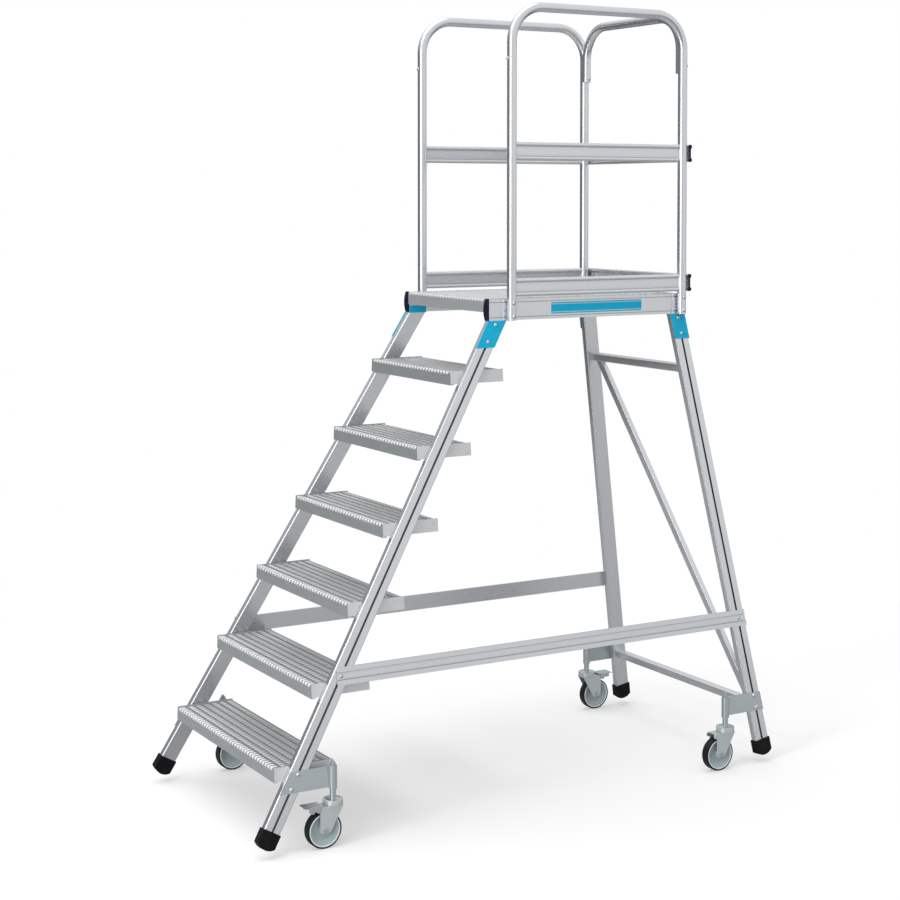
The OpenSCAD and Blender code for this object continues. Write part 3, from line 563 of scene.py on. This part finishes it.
class Bench:
    """Modelling calls shared by the pieces: each acts on one new object."""

    @staticmethod
    def clear() -> None:
        """Leaves edit mode and deselects everything."""
        if bpy.context.object and bpy.context.object.mode != "OBJECT":
            bpy.ops.object.mode_set(mode="OBJECT")
        bpy.ops.object.select_all(action="DESELECT")

    @staticmethod
    def take(piece: bpy.types.Object) -> None:
        """Selects one object alone and makes it the active one.

        Args:
            piece: The object.
        """
        Bench.clear()
        piece.select_set(True)
        bpy.context.view_layer.objects.active = piece

    @staticmethod
    def box(name: str, low: Point, high: Point) -> bpy.types.Object:
        """Adds a box between two corners.

        Args:
            name: Name of the new object.
            low: Lowest corner.
            high: Highest corner.

        Returns:
            The object, with its place in its mesh.
        """
        Bench.clear()
        middle = [(a + b) / 2 for a, b in zip(low, high)]
        size = [b - a for a, b in zip(low, high)]
        bpy.ops.mesh.primitive_cube_add(size=1.0, location=middle)
        piece = bpy.context.object
        piece.name = name
        piece.scale = size
        bpy.ops.object.transform_apply(location=True, rotation=True, scale=True)
        return piece

    @staticmethod
    def section(radius: float, middle: Point) -> bpy.types.Object:
        """Adds the round section of a wire, square to the Y axis.

        Args:
            radius: Radius of the wire.
            middle: Middle of the section.

        Returns:
            The object, with its place in its mesh.
        """
        Bench.clear()
        bpy.ops.mesh.primitive_circle_add(vertices=WIRE_SIDES, radius=radius, location=middle,
                                          rotation=(math.pi / 2, 0.0, 0.0))
        bpy.ops.object.transform_apply(location=True, rotation=True, scale=True)
        return bpy.context.object

    @staticmethod
    def close(piece: bpy.types.Object) -> None:
        """Leaves edit mode on a piece of wire with its faces outward and smooth.

        Args:
            piece: The object in edit mode.
        """
        bpy.ops.mesh.select_all(action="SELECT")
        bpy.ops.mesh.normals_make_consistent(inside=False)
        Bench.smooth(piece, WIRE_ANGLE)

    @staticmethod
    def edit(piece: bpy.types.Object) -> None:
        """Enters edit mode on one object with nothing selected.

        Args:
            piece: The object.
        """
        Bench.take(piece)
        bpy.ops.object.mode_set(mode="EDIT")
        bpy.ops.mesh.select_all(action="DESELECT")

    @staticmethod
    def pick(piece: bpy.types.Object, mode: str, test: Callable[[Any], bool]) -> None:
        """Selects faces or edges of an object in edit mode.

        Args:
            piece: The object.
            mode: FACE or EDGE.
            test: Says whether an element is taken.
        """
        bpy.ops.mesh.select_mode(type=mode)
        bpy.ops.mesh.select_all(action="DESELECT")
        bpy.ops.object.mode_set(mode="OBJECT")
        for element in piece.data.polygons if mode == "FACE" else piece.data.edges:
            element.select = test(element)
        bpy.ops.object.mode_set(mode="EDIT")

    @staticmethod
    def edge_at(piece: bpy.types.Object, edge: bpy.types.MeshEdge, y: float, z: float) -> bool:
        """Says whether an edge along X lies at a place.

        Args:
            piece: The object.
            edge: One of its edges.
            y: Place along Y.
            z: Height.

        Returns:
            True if both ends are there.
        """
        ends = [piece.data.vertices[index].co for index in edge.vertices]
        return all(abs(end.y - y) < NEAR and abs(end.z - z) < NEAR for end in ends)

    @staticmethod
    def modify(piece: bpy.types.Object, kind: str, **settings: Any) -> None:
        """Adds a modifier to an object and applies it.

        Args:
            piece: The object.
            kind: Modifier type.
            **settings: Values of its properties.
        """
        Bench.take(piece)
        modifier = piece.modifiers.new(kind.lower(), kind)
        for key, value in settings.items():
            setattr(modifier, key, value)
        bpy.ops.object.modifier_apply(modifier=modifier.name)

    @staticmethod
    def smooth(piece: bpy.types.Object, angle: float = 35.0) -> None:
        """Shades an object smooth up to an angle in degrees."""
        Bench.take(piece)
        bpy.ops.object.shade_smooth_by_angle(angle=math.radians(angle))

    @staticmethod
    def move(piece: bpy.types.Object, matrix: Matrix) -> None:
        """Moves an object by a matrix and puts the place into its mesh.

        Args:
            piece: The object.
            matrix: Its place.
        """
        Bench.take(piece)
        piece.matrix_world = matrix
        bpy.ops.object.transform_apply(location=True, rotation=True, scale=True)

    @staticmethod
    def set_of(piece: bpy.types.Object, names: Sequence[str]) -> list[bpy.types.Object]:
        """Copies a modelled piece until there is one for each name, each with its own mesh.

        Args:
            piece: The modelled piece, which takes the first name.
            names: Names of the pieces.

        Returns:
            The pieces, in the order of the names.
        """
        piece.name = names[0]
        pieces = [piece]
        for name in names[1:]:
            Bench.take(piece)
            bpy.ops.object.duplicate(linked=False)
            bpy.context.object.name = name
            pieces.append(bpy.context.object)
        return pieces

    @staticmethod
    def seat(piece: bpy.types.Object, body: str, material: bpy.types.Material, slot: str,
             stands_for: Sequence[str] = ()) -> None:
        """Finishes a piece: material, body and the nodes that it stands for.

        Args:
            piece: The object.
            body: Body that it rides on.
            material: Its finish.
            slot: Material slot of the record; not used.
            stands_for: CAD nodes that it replaces.
        """
        piece.data.materials.clear()
        piece.data.materials.append(material)
        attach(piece, body)
        if stands_for:
            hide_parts(*stands_for)
        LOG.info("made %s on %s", piece.name, body)


# Sub-assemblies


@dataclass
class StepGrip:
    """Grip of the treads and deck planks: bars over the nose, near-white as a painted highlight, and rows of
    pads on the ribs.
    """

    rib_count: int = 7
    nose_r: float = 0.005
    rib_gap: float = 0.011
    pitch: float = 0.020
    pad_w: float = 0.014
    pad_rise: float = 0.0018
    bar_w: float = 0.011
    bar_l: float = 0.020
    bar_drop: float = 0.008
    bar_rise: float = 0.0014
    margin: float = 0.006
    end_plate_t: float = 0.003
    end_plate_rise: float = 0.003
    tread_depth: float = 0.207
    base_half: float = 0.430
    splay: float = math.radians(5.8)
    plank_gap: float = 0.002
    plank_count: int = 4
    bar_round: float = 0.006
    bar_segments: int = 4
    bar_break: float = 0.001
    pad_over: float = 0.0005
    pad_root: float = 0.001
    pad_lip: float = 0.0002
    pad_slopes: tuple[tuple[float, float], ...] = ((0.0022, 0.65), (0.0024, 0.35))
    pad_angle: float = 50.0

    def repeat(self, piece: bpy.types.Object, count: int, offset: Point) -> None:
        """Repeats a piece along an offset."""
        Bench.modify(piece, "ARRAY", count=count, use_relative_offset=False, use_constant_offset=True,
                     constant_offset_displace=offset)

    def bars(self, name: str, half: float, nose: float, top: float, material: bpy.types.Material) -> None:
        """Models the bars over one nose.

        Args:
            name: Name of the piece.
            half: Half of the width that the bars fill.
            nose: Place of the nose along Y.
            top: Height of the ribs.
            material: Finish of the bars.
        """
        count = int((2 * half - self.bar_w) / self.pitch) + 1
        first = -(count - 1) * self.pitch / 2
        front, back, crest = nose - self.bar_rise / 2, nose + self.bar_l, top + self.bar_rise
        bar = Bench.box(name, (first - self.bar_w / 2, front, top - self.bar_drop),
                        (first + self.bar_w / 2, back, crest))
        Bench.edit(bar)
        Bench.pick(bar, "EDGE", lambda edge: Bench.edge_at(bar, edge, y=front, z=crest))
        bpy.ops.mesh.bevel(offset=self.bar_round, segments=self.bar_segments, affect="EDGES")
        Bench.pick(bar, "EDGE", lambda edge: Bench.edge_at(bar, edge, y=back, z=crest))
        bpy.ops.mesh.bevel(offset=self.bar_break, segments=1, affect="EDGES")
        Bench.clear()
        self.repeat(bar, count, (self.pitch, 0.0, 0.0))
        Bench.smooth(bar)
        Bench.seat(bar, FRAME_BODY, material, "tread_aluminium")

    def pads(self, name: str, half: float, nose: float, depth: float, top: float, rows: int,
             material: bpy.types.Material) -> None:
        """Models the pads on the ribs of one tread or plank.

        Args:
            name: Name of the piece.
            half: Half of the width that the pads fill.
            nose: Place of the nose along Y.
            depth: Depth of the tread or plank.
            top: Height of the ribs.
            rows: Number of ribs with pads, counted from the back.
            material: Finish of the pads.
        """
        rib_pitch = (depth - self.nose_r) / self.rib_count
        rib = rib_pitch - self.rib_gap
        count = int((2 * half - self.pad_w) / self.pitch) + 1
        first = -(count - 1) * self.pitch / 2
        start = nose + self.nose_r + (self.rib_count - rows) * rib_pitch
        pad = Bench.box(name, (first - self.pad_w / 2, start - self.pad_over, top - self.pad_root),
                        (first + self.pad_w / 2, start + rib + self.pad_over, top + self.pad_lip))
        Bench.edit(pad)
        Bench.pick(pad, "FACE", lambda face: face.normal.z > FACING)
        for inset, share in self.pad_slopes:
            bpy.ops.mesh.inset(thickness=inset)
            bpy.ops.transform.translate(value=(0.0, 0.0, self.pad_rise * share))
        Bench.pick(pad, "FACE", lambda face: face.normal.z < -FACING)
        bpy.ops.mesh.delete(type="FACE")
        Bench.clear()
        self.repeat(pad, count, (self.pitch, 0.0, 0.0))
        self.repeat(pad, rows, (0.0, rib_pitch, 0.0))
        Bench.smooth(pad, self.pad_angle)
        Bench.seat(pad, FRAME_BODY, material, "tread_aluminium")

    def build(self, finishes: Finishes) -> None:
        """Models the grip of all treads and planks.

        Args:
            finishes: The ladder's finishes.
        """
        for number in TREADS:
            low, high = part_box(f"tread_{number}")
            top = high.z - self.end_plate_rise
            half = self.base_half - top * math.tan(self.splay) - self.end_plate_t - self.margin
            self.bars(f"tread_{number}_nose_bars", half, low.y, top, finishes.nose_highlight)
            self.pads(f"tread_{number}_pads", half, low.y, self.tread_depth, top, self.rib_count - 1,
                      finishes.pad)
        low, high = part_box("deck_planks")
        half = high.x - self.margin
        self.bars("deck_nose_bars", half, low.y, high.z, finishes.nose_highlight)
        depth = (high.y - low.y + self.plank_gap) / self.plank_count - self.plank_gap
        for number in range(self.plank_count):
            nose = low.y + number * (depth + self.plank_gap)
            rows = self.rib_count - 1 if number == 0 else self.rib_count
            self.pads(f"plank_{number + 1}_pads", half, nose, depth, high.z, rows, finishes.pad)


@dataclass
class RoundedParts:
    """CAD nodes that are shown with their sharp edges broken, as moulded, cast or pressed parts are."""

    segments: int = 2
    bar_segments: int = 4
    bar_l: float = 0.4
    corner_reach: float = 0.001
    flat_angle: float = 1.0
    sharp_angle: float = 40.0
    moulded_w: float = 0.003
    sheet_w: float = 0.0008
    fork_w: float = 0.001
    stem_w: float = 0.0015
    crossbar_r: float = 0.004
    diagonal_r: float = 0.003

    def merged_copy(self, node: str) -> bpy.types.Object:
        """Copies a node's mesh into a new object with its doubles merged and its flat faces joined.

        Args:
            node: Name of the node.

        Returns:
            The new object.
        """
        piece = bpy.data.objects.new(f"{node}_rounded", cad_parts[node].data.copy())
        bpy.context.scene.collection.objects.link(piece)
        Bench.edit(piece)
        bpy.ops.mesh.select_all(action="SELECT")
        bpy.ops.mesh.remove_doubles(threshold=NEAR)
        bpy.ops.mesh.dissolve_limited(angle_limit=math.radians(self.flat_angle))
        Bench.clear()
        return piece

    def soften(self, node: str, body: str, width: float, material: bpy.types.Material, slot: str) -> None:
        """Makes a copy of a node with its edges bevelled, and lets it stand for the node.

        Args:
            node: Name of the node.
            body: Body that it belongs to.
            width: Width of the bevel.
            material: Its finish.
            slot: Material slot of the record.
        """
        piece = self.merged_copy(node)
        Bench.modify(piece, "BEVEL", width=width, segments=self.segments, limit_method="ANGLE",
                     angle_limit=math.radians(self.sharp_angle), use_clamp_overlap=True)
        Bench.smooth(piece, self.sharp_angle)
        Bench.modify(piece, "WEIGHTED_NORMAL", keep_sharp=True)
        Bench.seat(piece, body, material, slot, (node,))

    def round_bar(self, node: str, radius: float, material: bpy.types.Material) -> None:
        """Makes a copy of a rear bar with its long outer edges rounded, and lets it stand for the bar.

        Args:
            node: Name of the node.
            radius: Radius of its edges.
            material: Its finish.
        """
        piece = self.merged_copy(node)
        Bench.edit(piece)
        Bench.pick(piece, "EDGE", lambda edge: self.is_long_corner(piece, edge))
        bpy.ops.mesh.bevel(offset=radius, segments=self.bar_segments, affect="EDGES")
        Bench.clear()
        Bench.smooth(piece, self.sharp_angle)
        Bench.modify(piece, "WEIGHTED_NORMAL", keep_sharp=True)
        Bench.seat(piece, FRAME_BODY, material, "frame_aluminium", (node,))

    def is_long_corner(self, piece: bpy.types.Object, edge: bpy.types.MeshEdge) -> bool:
        """Says whether an edge runs along a bar at one of its four outer corners.

        Args:
            piece: The bar.
            edge: One of its edges.

        Returns:
            True for an outer edge along the bar.
        """
        vertices = piece.data.vertices
        first, second = (vertices[index].co for index in edge.vertices)
        if (first - second).length < self.bar_l:
            return False
        along = (second - first).normalized()
        middle = sum((vertex.co for vertex in vertices), Vector()) / len(vertices)
        away = [(vertex.co - middle - along * (vertex.co - middle).dot(along)).length for vertex in vertices]
        here = max(away[index] for index in edge.vertices)
        return here > max(away) - self.corner_reach

    def build(self, finishes: Finishes) -> None:
        """Softens the feet, caps, brackets, casters and rear bars.

        Args:
            finishes: The ladder's finishes.
        """
        self.soften("leg_feet", FRAME_BODY, self.moulded_w, finishes.foot, "foot_rubber")
        self.soften("beam_end_caps", FRAME_BODY, self.moulded_w, finishes.navy, "cap_plastic")
        self.soften("leg_brackets", FRAME_BODY, self.sheet_w, finishes.blue, "bracket_blue")
        self.soften("caster_brackets", FRAME_BODY, self.sheet_w, finishes.zinc, "zinc_steel")
        for corner in Corner:
            fork, stem = corner.part("fork"), corner.part("stem")
            self.soften(fork, fork, self.fork_w, finishes.fork, "zinc_steel")
            self.soften(stem, stem, self.stem_w, finishes.zinc, "zinc_steel")
        for pedal in [corner.part("pedal") for corner in Corner if corner.braked]:
            self.soften(pedal, pedal, self.sheet_w, finishes.zinc, "zinc_steel")
        self.round_bar("rear_crossbar_top", self.crossbar_r, finishes.drawn[Grain.ACROSS])
        self.round_bar("rear_crossbar_bottom", self.crossbar_r, finishes.drawn[Grain.ACROSS])
        self.round_bar("rear_diagonal_brace", self.diagonal_r, finishes.drawn[Grain.DIAGONAL])


@dataclass
class RimBeads:
    """Round beads along the rims' edges, one on each side of a wheel, pale as a painted highlight."""

    ring_set: float = 0.0023
    bead_r: float = 0.0021
    side_x: float = 0.0138
    steps: int = 48

    def model(self, ring_r: float) -> bpy.types.Object:
        """Models a pair of beads about the X axis.

        Args:
            ring_r: Radius of the beads' rings.

        Returns:
            The object.
        """
        highlight_bead = Bench.section(self.bead_r, (self.side_x, 0.0, ring_r))
        Bench.edit(highlight_bead)
        bpy.ops.mesh.select_all(action="SELECT")
        bpy.ops.mesh.spin(steps=self.steps, angle=2 * math.pi, center=(0.0, 0.0, 0.0), axis=(1.0, 0.0, 0.0))
        bpy.ops.mesh.select_all(action="SELECT")
        bpy.ops.mesh.remove_doubles(threshold=NEAR)
        bpy.ops.mesh.duplicate()
        bpy.ops.transform.translate(value=(-2 * self.side_x, 0.0, 0.0))
        Bench.close(highlight_bead)
        return highlight_bead

    def build(self, finishes: Finishes) -> None:
        """Models the beads of one wheel and copies them to the others.

        Args:
            finishes: The ladder's finishes.
        """
        low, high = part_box(Corner.FRONT_RIGHT.part("rim"))
        modelled = self.model((high.z - low.z) / 2 - self.ring_set)
        names = [corner.part("rim_beads") for corner in Corner]
        for corner, highlight_bead in zip(Corner, Bench.set_of(modelled, names)):
            low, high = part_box(corner.part("rim"))
            turn = Matrix.Rotation(corner.yaw, 4, "Z")
            Bench.move(highlight_bead, Matrix.Translation((low + high) / 2) @ turn)
            Bench.seat(highlight_bead, corner.part("wheel"), finishes.highlight_bead, "rim_grey")


@dataclass
class CasterSprings:
    """Wound springs in the caster tubes, which close up as the stems slide in; here each is modelled at rest
    and carried on its stem.
    """

    wire_r: float = 0.0016
    coil_r: float = 0.0075
    turns: int = 6
    steps: int = 16
    travel: float = 0.024

    def model(self, length: float) -> bpy.types.Object:
        """Models a spring that stands on the origin.

        Args:
            length: Length of the spring at rest.

        Returns:
            The object.
        """
        spring = Bench.section(self.wire_r, (self.coil_r, 0.0, self.wire_r))
        rise = (length - 2 * self.wire_r) / self.turns
        Bench.modify(spring, "SCREW", angle=2 * math.pi, screw_offset=rise, iterations=self.turns,
                     steps=self.steps, render_steps=self.steps)
        Bench.edit(spring)
        bpy.ops.mesh.select_all(action="SELECT")
        bpy.ops.mesh.remove_doubles(threshold=NEAR)
        bpy.ops.mesh.fill_holes(sides=0)
        Bench.close(spring)
        return spring

    def build(self, finishes: Finishes) -> None:
        """Models the spring of one caster and copies it to the others.

        Args:
            finishes: The ladder's finishes.
        """
        low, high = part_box(Corner.FRONT_RIGHT.part("spring"))
        length = high.z - low.z
        names = [corner.part("spring_wound") for corner in Corner]
        for corner, spring in zip(Corner, Bench.set_of(self.model(length), names)):
            low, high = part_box(corner.part("spring"))
            foot = Vector(((low.x + high.x) / 2, (low.y + high.y) / 2, low.z))
            Bench.move(spring, Matrix.Translation(foot))
            Bench.seat(spring, corner.part("stem"), finishes.zinc, "zinc_steel", (corner.part("spring"),))
            corner.part("suspension")
            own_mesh(spring)


@dataclass
class SideStrip:
    """Blue strip on the outer face of the right deck beam."""

    front: float = 0.161
    back: float = 0.543
    low: float = 1.648
    high: float = 1.687
    thick: float = 0.0006
    corner_r: float = 0.004
    corner_segments: int = 4

    def build(self) -> None:
        """Models the strip as a thin plate with rounded corners."""
        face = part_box("platform_beam_right")[1].x
        strip = Bench.box("side_strip", (face, self.front, self.low),
                          (face + self.thick, self.back, self.high))
        Bench.edit(strip)
        Bench.pick(strip, "EDGE", lambda edge: self.is_corner(strip, edge))
        bpy.ops.mesh.bevel(offset=self.corner_r, segments=self.corner_segments, affect="EDGES")
        Bench.clear()
        Bench.smooth(strip)
        finish = StripPrint("strip_blue", (self.low + self.high) / 2, (self.high - self.low) / 2)
        Bench.seat(strip, FRAME_BODY, finish.build(), "bracket_blue")

    @staticmethod
    def is_corner(strip: bpy.types.Object, edge: bpy.types.MeshEdge) -> bool:
        """Says whether an edge runs through the strip's thickness."""
        a, b = (strip.data.vertices[i].co for i in edge.vertices)
        return abs(a.y - b.y) < NEAR and abs(a.z - b.z) < NEAR


@dataclass
class FrameLooks:
    """Finishes of the frame's CAD nodes that are shown as they are."""

    def build(self, finishes: Finishes) -> None:
        """Dresses the nodes.

        Args:
            finishes: The ladder's finishes.
        """
        drawn = finishes.drawn
        dress(["stringer_left", "stringer_right"], drawn[Grain.STRINGER])
        dress(["rear_leg_left", "rear_leg_right"], drawn[Grain.REAR_LEG])
        dress(["platform_rear_beam", "rear_handrail", "rear_mid_rail", "rear_toe_board"], drawn[Grain.ACROSS])
        dress(["platform_beam_left", "platform_beam_right", "side_brace_left", "side_brace_right",
               "side_mid_rails", "side_toe_boards"], drawn[Grain.DEPTH])
        dress(["handrail_left", "handrail_right"], drawn[Grain.UPRIGHT])
        dress([f"tread_{number}" for number in TREADS], finishes.grip)
        dress(["deck_planks"], finishes.deck)
        dress(["rear_rail_caps"], finishes.navy)
        dress(["frame_bolts", "guardrail_bolts"], finishes.zinc)


@dataclass
class CasterLooks:
    """Finishes of the casters' CAD nodes that are shown as they are."""

    def build(self, finishes: Finishes) -> None:
        """Dresses the nodes.

        Args:
            finishes: The ladder's finishes.
        """
        for corner in Corner:
            dress([corner.part("axle")], finishes.zinc)
            dress([corner.part("rim")], finishes.rim)
            dress([corner.part("tyre")], finishes.tyre)


@dataclass
class Studio:
    """Floor, light and camera."""

    floor_z: float = -0.0005
    floor_x: float = 7.0
    floor_y: float = 8.0
    camera_at: Point = (5.57736, -3.30539, 2.05503)
    azimuth: float = math.radians(59.897)
    pitch: float = math.radians(2.4236)
    focal_px: float = 1834.76
    axis_px: float = 273.03
    image_px: float = 900.0
    bounce: float = 0.57
    glow: float = 0.375
    mirrored: float = 0.12
    room_axis: Point = (0.34, 0.20, 1.0)
    room_start: float = -0.20
    room_end: float = 0.45
    room_dim: float = 0.12
    room_bright: float = 0.62
    floor_tone: Colour = (0.31, 0.31, 0.315)
    floor_rough: float = 0.2
    floor_ior: float = 2.4
    paper_blue: float = 1.01
    fade_start: float = 0.4
    fade_end: float = 0.9
    lamp_reach: float = 6.0
    key_towards: Point = (-0.10, -0.20, 0.95)
    key_power: float = 1.5
    key_spread: float = 64.0
    front_towards: Point = (0.17, -0.80, 0.57)
    front_power: float = 0.5
    front_spread: float = 12.0
    strip_at: Point = (2.3, -4.3, 2.0)
    strip_turn: float = math.radians(24.0)
    strip_w: float = 2.5
    strip_h: float = 3.6
    strip_power: float = 85.0
    sensor_mm: float = 36.0
    clip_end: float = 200.0

    @staticmethod
    def seen(bench: NodeSheet, path: bpy.types.Node, glossy: tuple[bpy.types.Node, str]) -> bpy.types.Node:
        """Adds the factor of the rays that see the white background.

        Args:
            bench: Bench of the material or world.
            path: Its light path node.
            glossy: Node and socket that give the share of the reflected rays.

        Returns:
            The node whose value is the factor.
        """
        first = bench.add("ShaderNodeMath", operation="MAXIMUM")
        bench.link(path, "Is Camera Ray", first, 0)
        bench.link(path, "Is Transmission Ray", first, 1)
        both = bench.add("ShaderNodeMath", operation="MAXIMUM")
        bench.link(first, "Value", both, 0)
        bench.link(*glossy, both, 1)
        return both

    def build_floor(self) -> None:
        """Adds a pale floor that keeps the ladder's shadow."""
        Bench.clear()
        bpy.ops.mesh.primitive_plane_add(size=1.0, location=(0.0, 0.0, self.floor_z))
        floor = bpy.context.object
        floor.name = "studio_floor"
        floor.scale = (self.floor_x, self.floor_y, 1.0)
        bpy.ops.object.transform_apply(location=False, rotation=False, scale=True)
        bench = NodeBench("studio_floor")
        bench.shader.inputs["Base Color"].default_value = (*self.floor_tone, 1.0)
        bench.shader.inputs["Roughness"].default_value = self.floor_rough
        bench.shader.inputs["IOR"].default_value = self.floor_ior
        paper_tone = (self.bounce, self.bounce, self.bounce * self.paper_blue, 1.0)
        paper = bench.add("ShaderNodeBsdfDiffuse", {"Color": paper_tone})
        glow = bench.add("ShaderNodeEmission", {"Color": WHITE, "Strength": self.glow})
        white = bench.add("ShaderNodeAddShader")
        bench.link(paper, "BSDF", white, 0)
        bench.link(glow, "Emission", white, 1)
        away = bench.add("ShaderNodeVectorMath", operation="LENGTH")
        bench.link(bench.place(grain=(self.floor_x / 2, self.floor_y / 2, 1.0)), "Vector", away, 0)
        faded = bench.add("ShaderNodeMixShader")
        fade = bench.spread(away, "Value", 0.0, 1.0, self.fade_start, self.fade_end)
        bench.link(fade, "Result", faded, 0)
        bench.link(white, "Shader", faded, 1)
        bench.link(bench.add("ShaderNodeEmission", {"Color": WHITE}), "Emission", faded, 2)
        path = bench.add("ShaderNodeLightPath")
        share = bench.add("ShaderNodeMath", {1: self.mirrored}, operation="MULTIPLY")
        bench.link(path, "Is Glossy Ray", share, 0)
        mix = bench.add("ShaderNodeMixShader")
        bench.link(self.seen(bench, path, (share, "Value")), "Value", mix, 0)
        bench.link(bench.shader, "BSDF", mix, 1)
        bench.link(faded, "Shader", mix, 2)
        bench.link(mix, "Shader", bench.output, "Surface")
        floor.data.materials.append(bench.material)

    def build_world(self) -> None:
        """Makes a white surround, which reflects greyer below and in front of the ladder."""
        world = bpy.data.worlds.new("studio")
        bpy.context.scene.world = world
        world.use_nodes = True
        bench = NodeSheet(world.node_tree)
        output = bench.add("ShaderNodeOutputWorld")
        plain = bench.add("ShaderNodeBackground", {"Color": WHITE})
        white = bench.add("ShaderNodeBackground", {"Color": WHITE, "Strength": 1.0})
        towards = bench.add("ShaderNodeVectorMath", {1: self.room_axis}, operation="DOT_PRODUCT")
        bench.link(bench.add("ShaderNodeTexCoord"), "Generated", towards, 0)
        room = bench.spread(towards, "Value", 0.0, 1.0, self.room_start, self.room_end)
        level = bench.spread(towards, "Value", self.room_dim, self.room_bright,
                             self.room_start, self.room_end)
        bench.link(level, "Result", plain, "Strength")
        path = bench.add("ShaderNodeLightPath")
        mirrored = bench.add("ShaderNodeMath", operation="MULTIPLY")
        bench.link(path, "Is Glossy Ray", mirrored, 0)
        bench.link(room, "Result", mirrored, 1)
        factor = self.seen(bench, path, (mirrored, "Value"))
        mix = bench.add("ShaderNodeMixShader")
        bench.link(factor, "Value", mix, 0)
        bench.link(plain, "Background", mix, 1)
        bench.link(white, "Background", mix, 2)
        bench.link(mix, "Shader", output, "Surface")

    def build_lamp(self, name: str, towards: Point, power: float, spread: float) -> None:
        """Adds a soft lamp far away.

        Args:
            name: Name of the lamp.
            towards: Direction from the ladder to the lamp.
            power: Its strength.
            spread: Its width as an angle in degrees.
        """
        data = bpy.data.lights.new(name, "SUN")
        data.energy = power
        data.angle = math.radians(spread)
        lamp = bpy.data.objects.new(name, data)
        bpy.context.scene.collection.objects.link(lamp)
        lamp.location = [self.lamp_reach * part for part in towards]
        lamp.rotation_euler = (-Vector(towards)).to_track_quat("-Z", "Y").to_euler()

    def build_strip(self) -> None:
        """Adds a tall soft box in front, which draws a bright line along the tubes."""
        data = bpy.data.lights.new("strip_lamp", "AREA")
        data.shape = "RECTANGLE"
        data.size = self.strip_w
        data.size_y = self.strip_h
        data.energy = self.strip_power
        lamp = bpy.data.objects.new("strip_lamp", data)
        bpy.context.scene.collection.objects.link(lamp)
        lamp.location = self.strip_at
        lamp.rotation_euler = (math.pi / 2, 0.0, self.strip_turn)

    def build_camera(self) -> None:
        """Adds the camera at the photo's viewpoint."""
        data = bpy.data.cameras.new("camera")
        data.sensor_width = self.sensor_mm
        data.lens = self.focal_px / self.image_px * self.sensor_mm
        data.shift_y = (self.axis_px - self.image_px / 2) / self.image_px
        data.clip_end = self.clip_end
        camera = bpy.data.objects.new("camera", data)
        bpy.context.scene.collection.objects.link(camera)
        camera.location = self.camera_at
        camera.rotation_euler = (math.pi / 2 - self.pitch, 0.0, self.azimuth)
        bpy.context.scene.camera = camera

    def build(self) -> None:
        """Sets up the whole studio."""
        bpy.context.scene.view_settings.view_transform = "Standard"
        self.build_camera()
        self.build_world()
        self.build_floor()
        self.build_lamp("key_lamp", self.key_towards, self.key_power, self.key_spread)
        self.build_lamp("front_lamp", self.front_towards, self.front_power, self.front_spread)
        self.build_strip()


def main() -> None:
    """Builds the studio and dresses the ladder."""
    logging.basicConfig(level=logging.INFO, format="%(name)s: %(message)s")
    Studio().build()
    finishes = Finishes()
    FrameLooks().build(finishes)
    CasterLooks().build(finishes)
    StepGrip().build(finishes)
    RoundedParts().build(finishes)
    RimBeads().build(finishes)
    CasterSprings().build(finishes)
    SideStrip().build()
    Bench.clear()


if __name__ == "__main__":
    main()
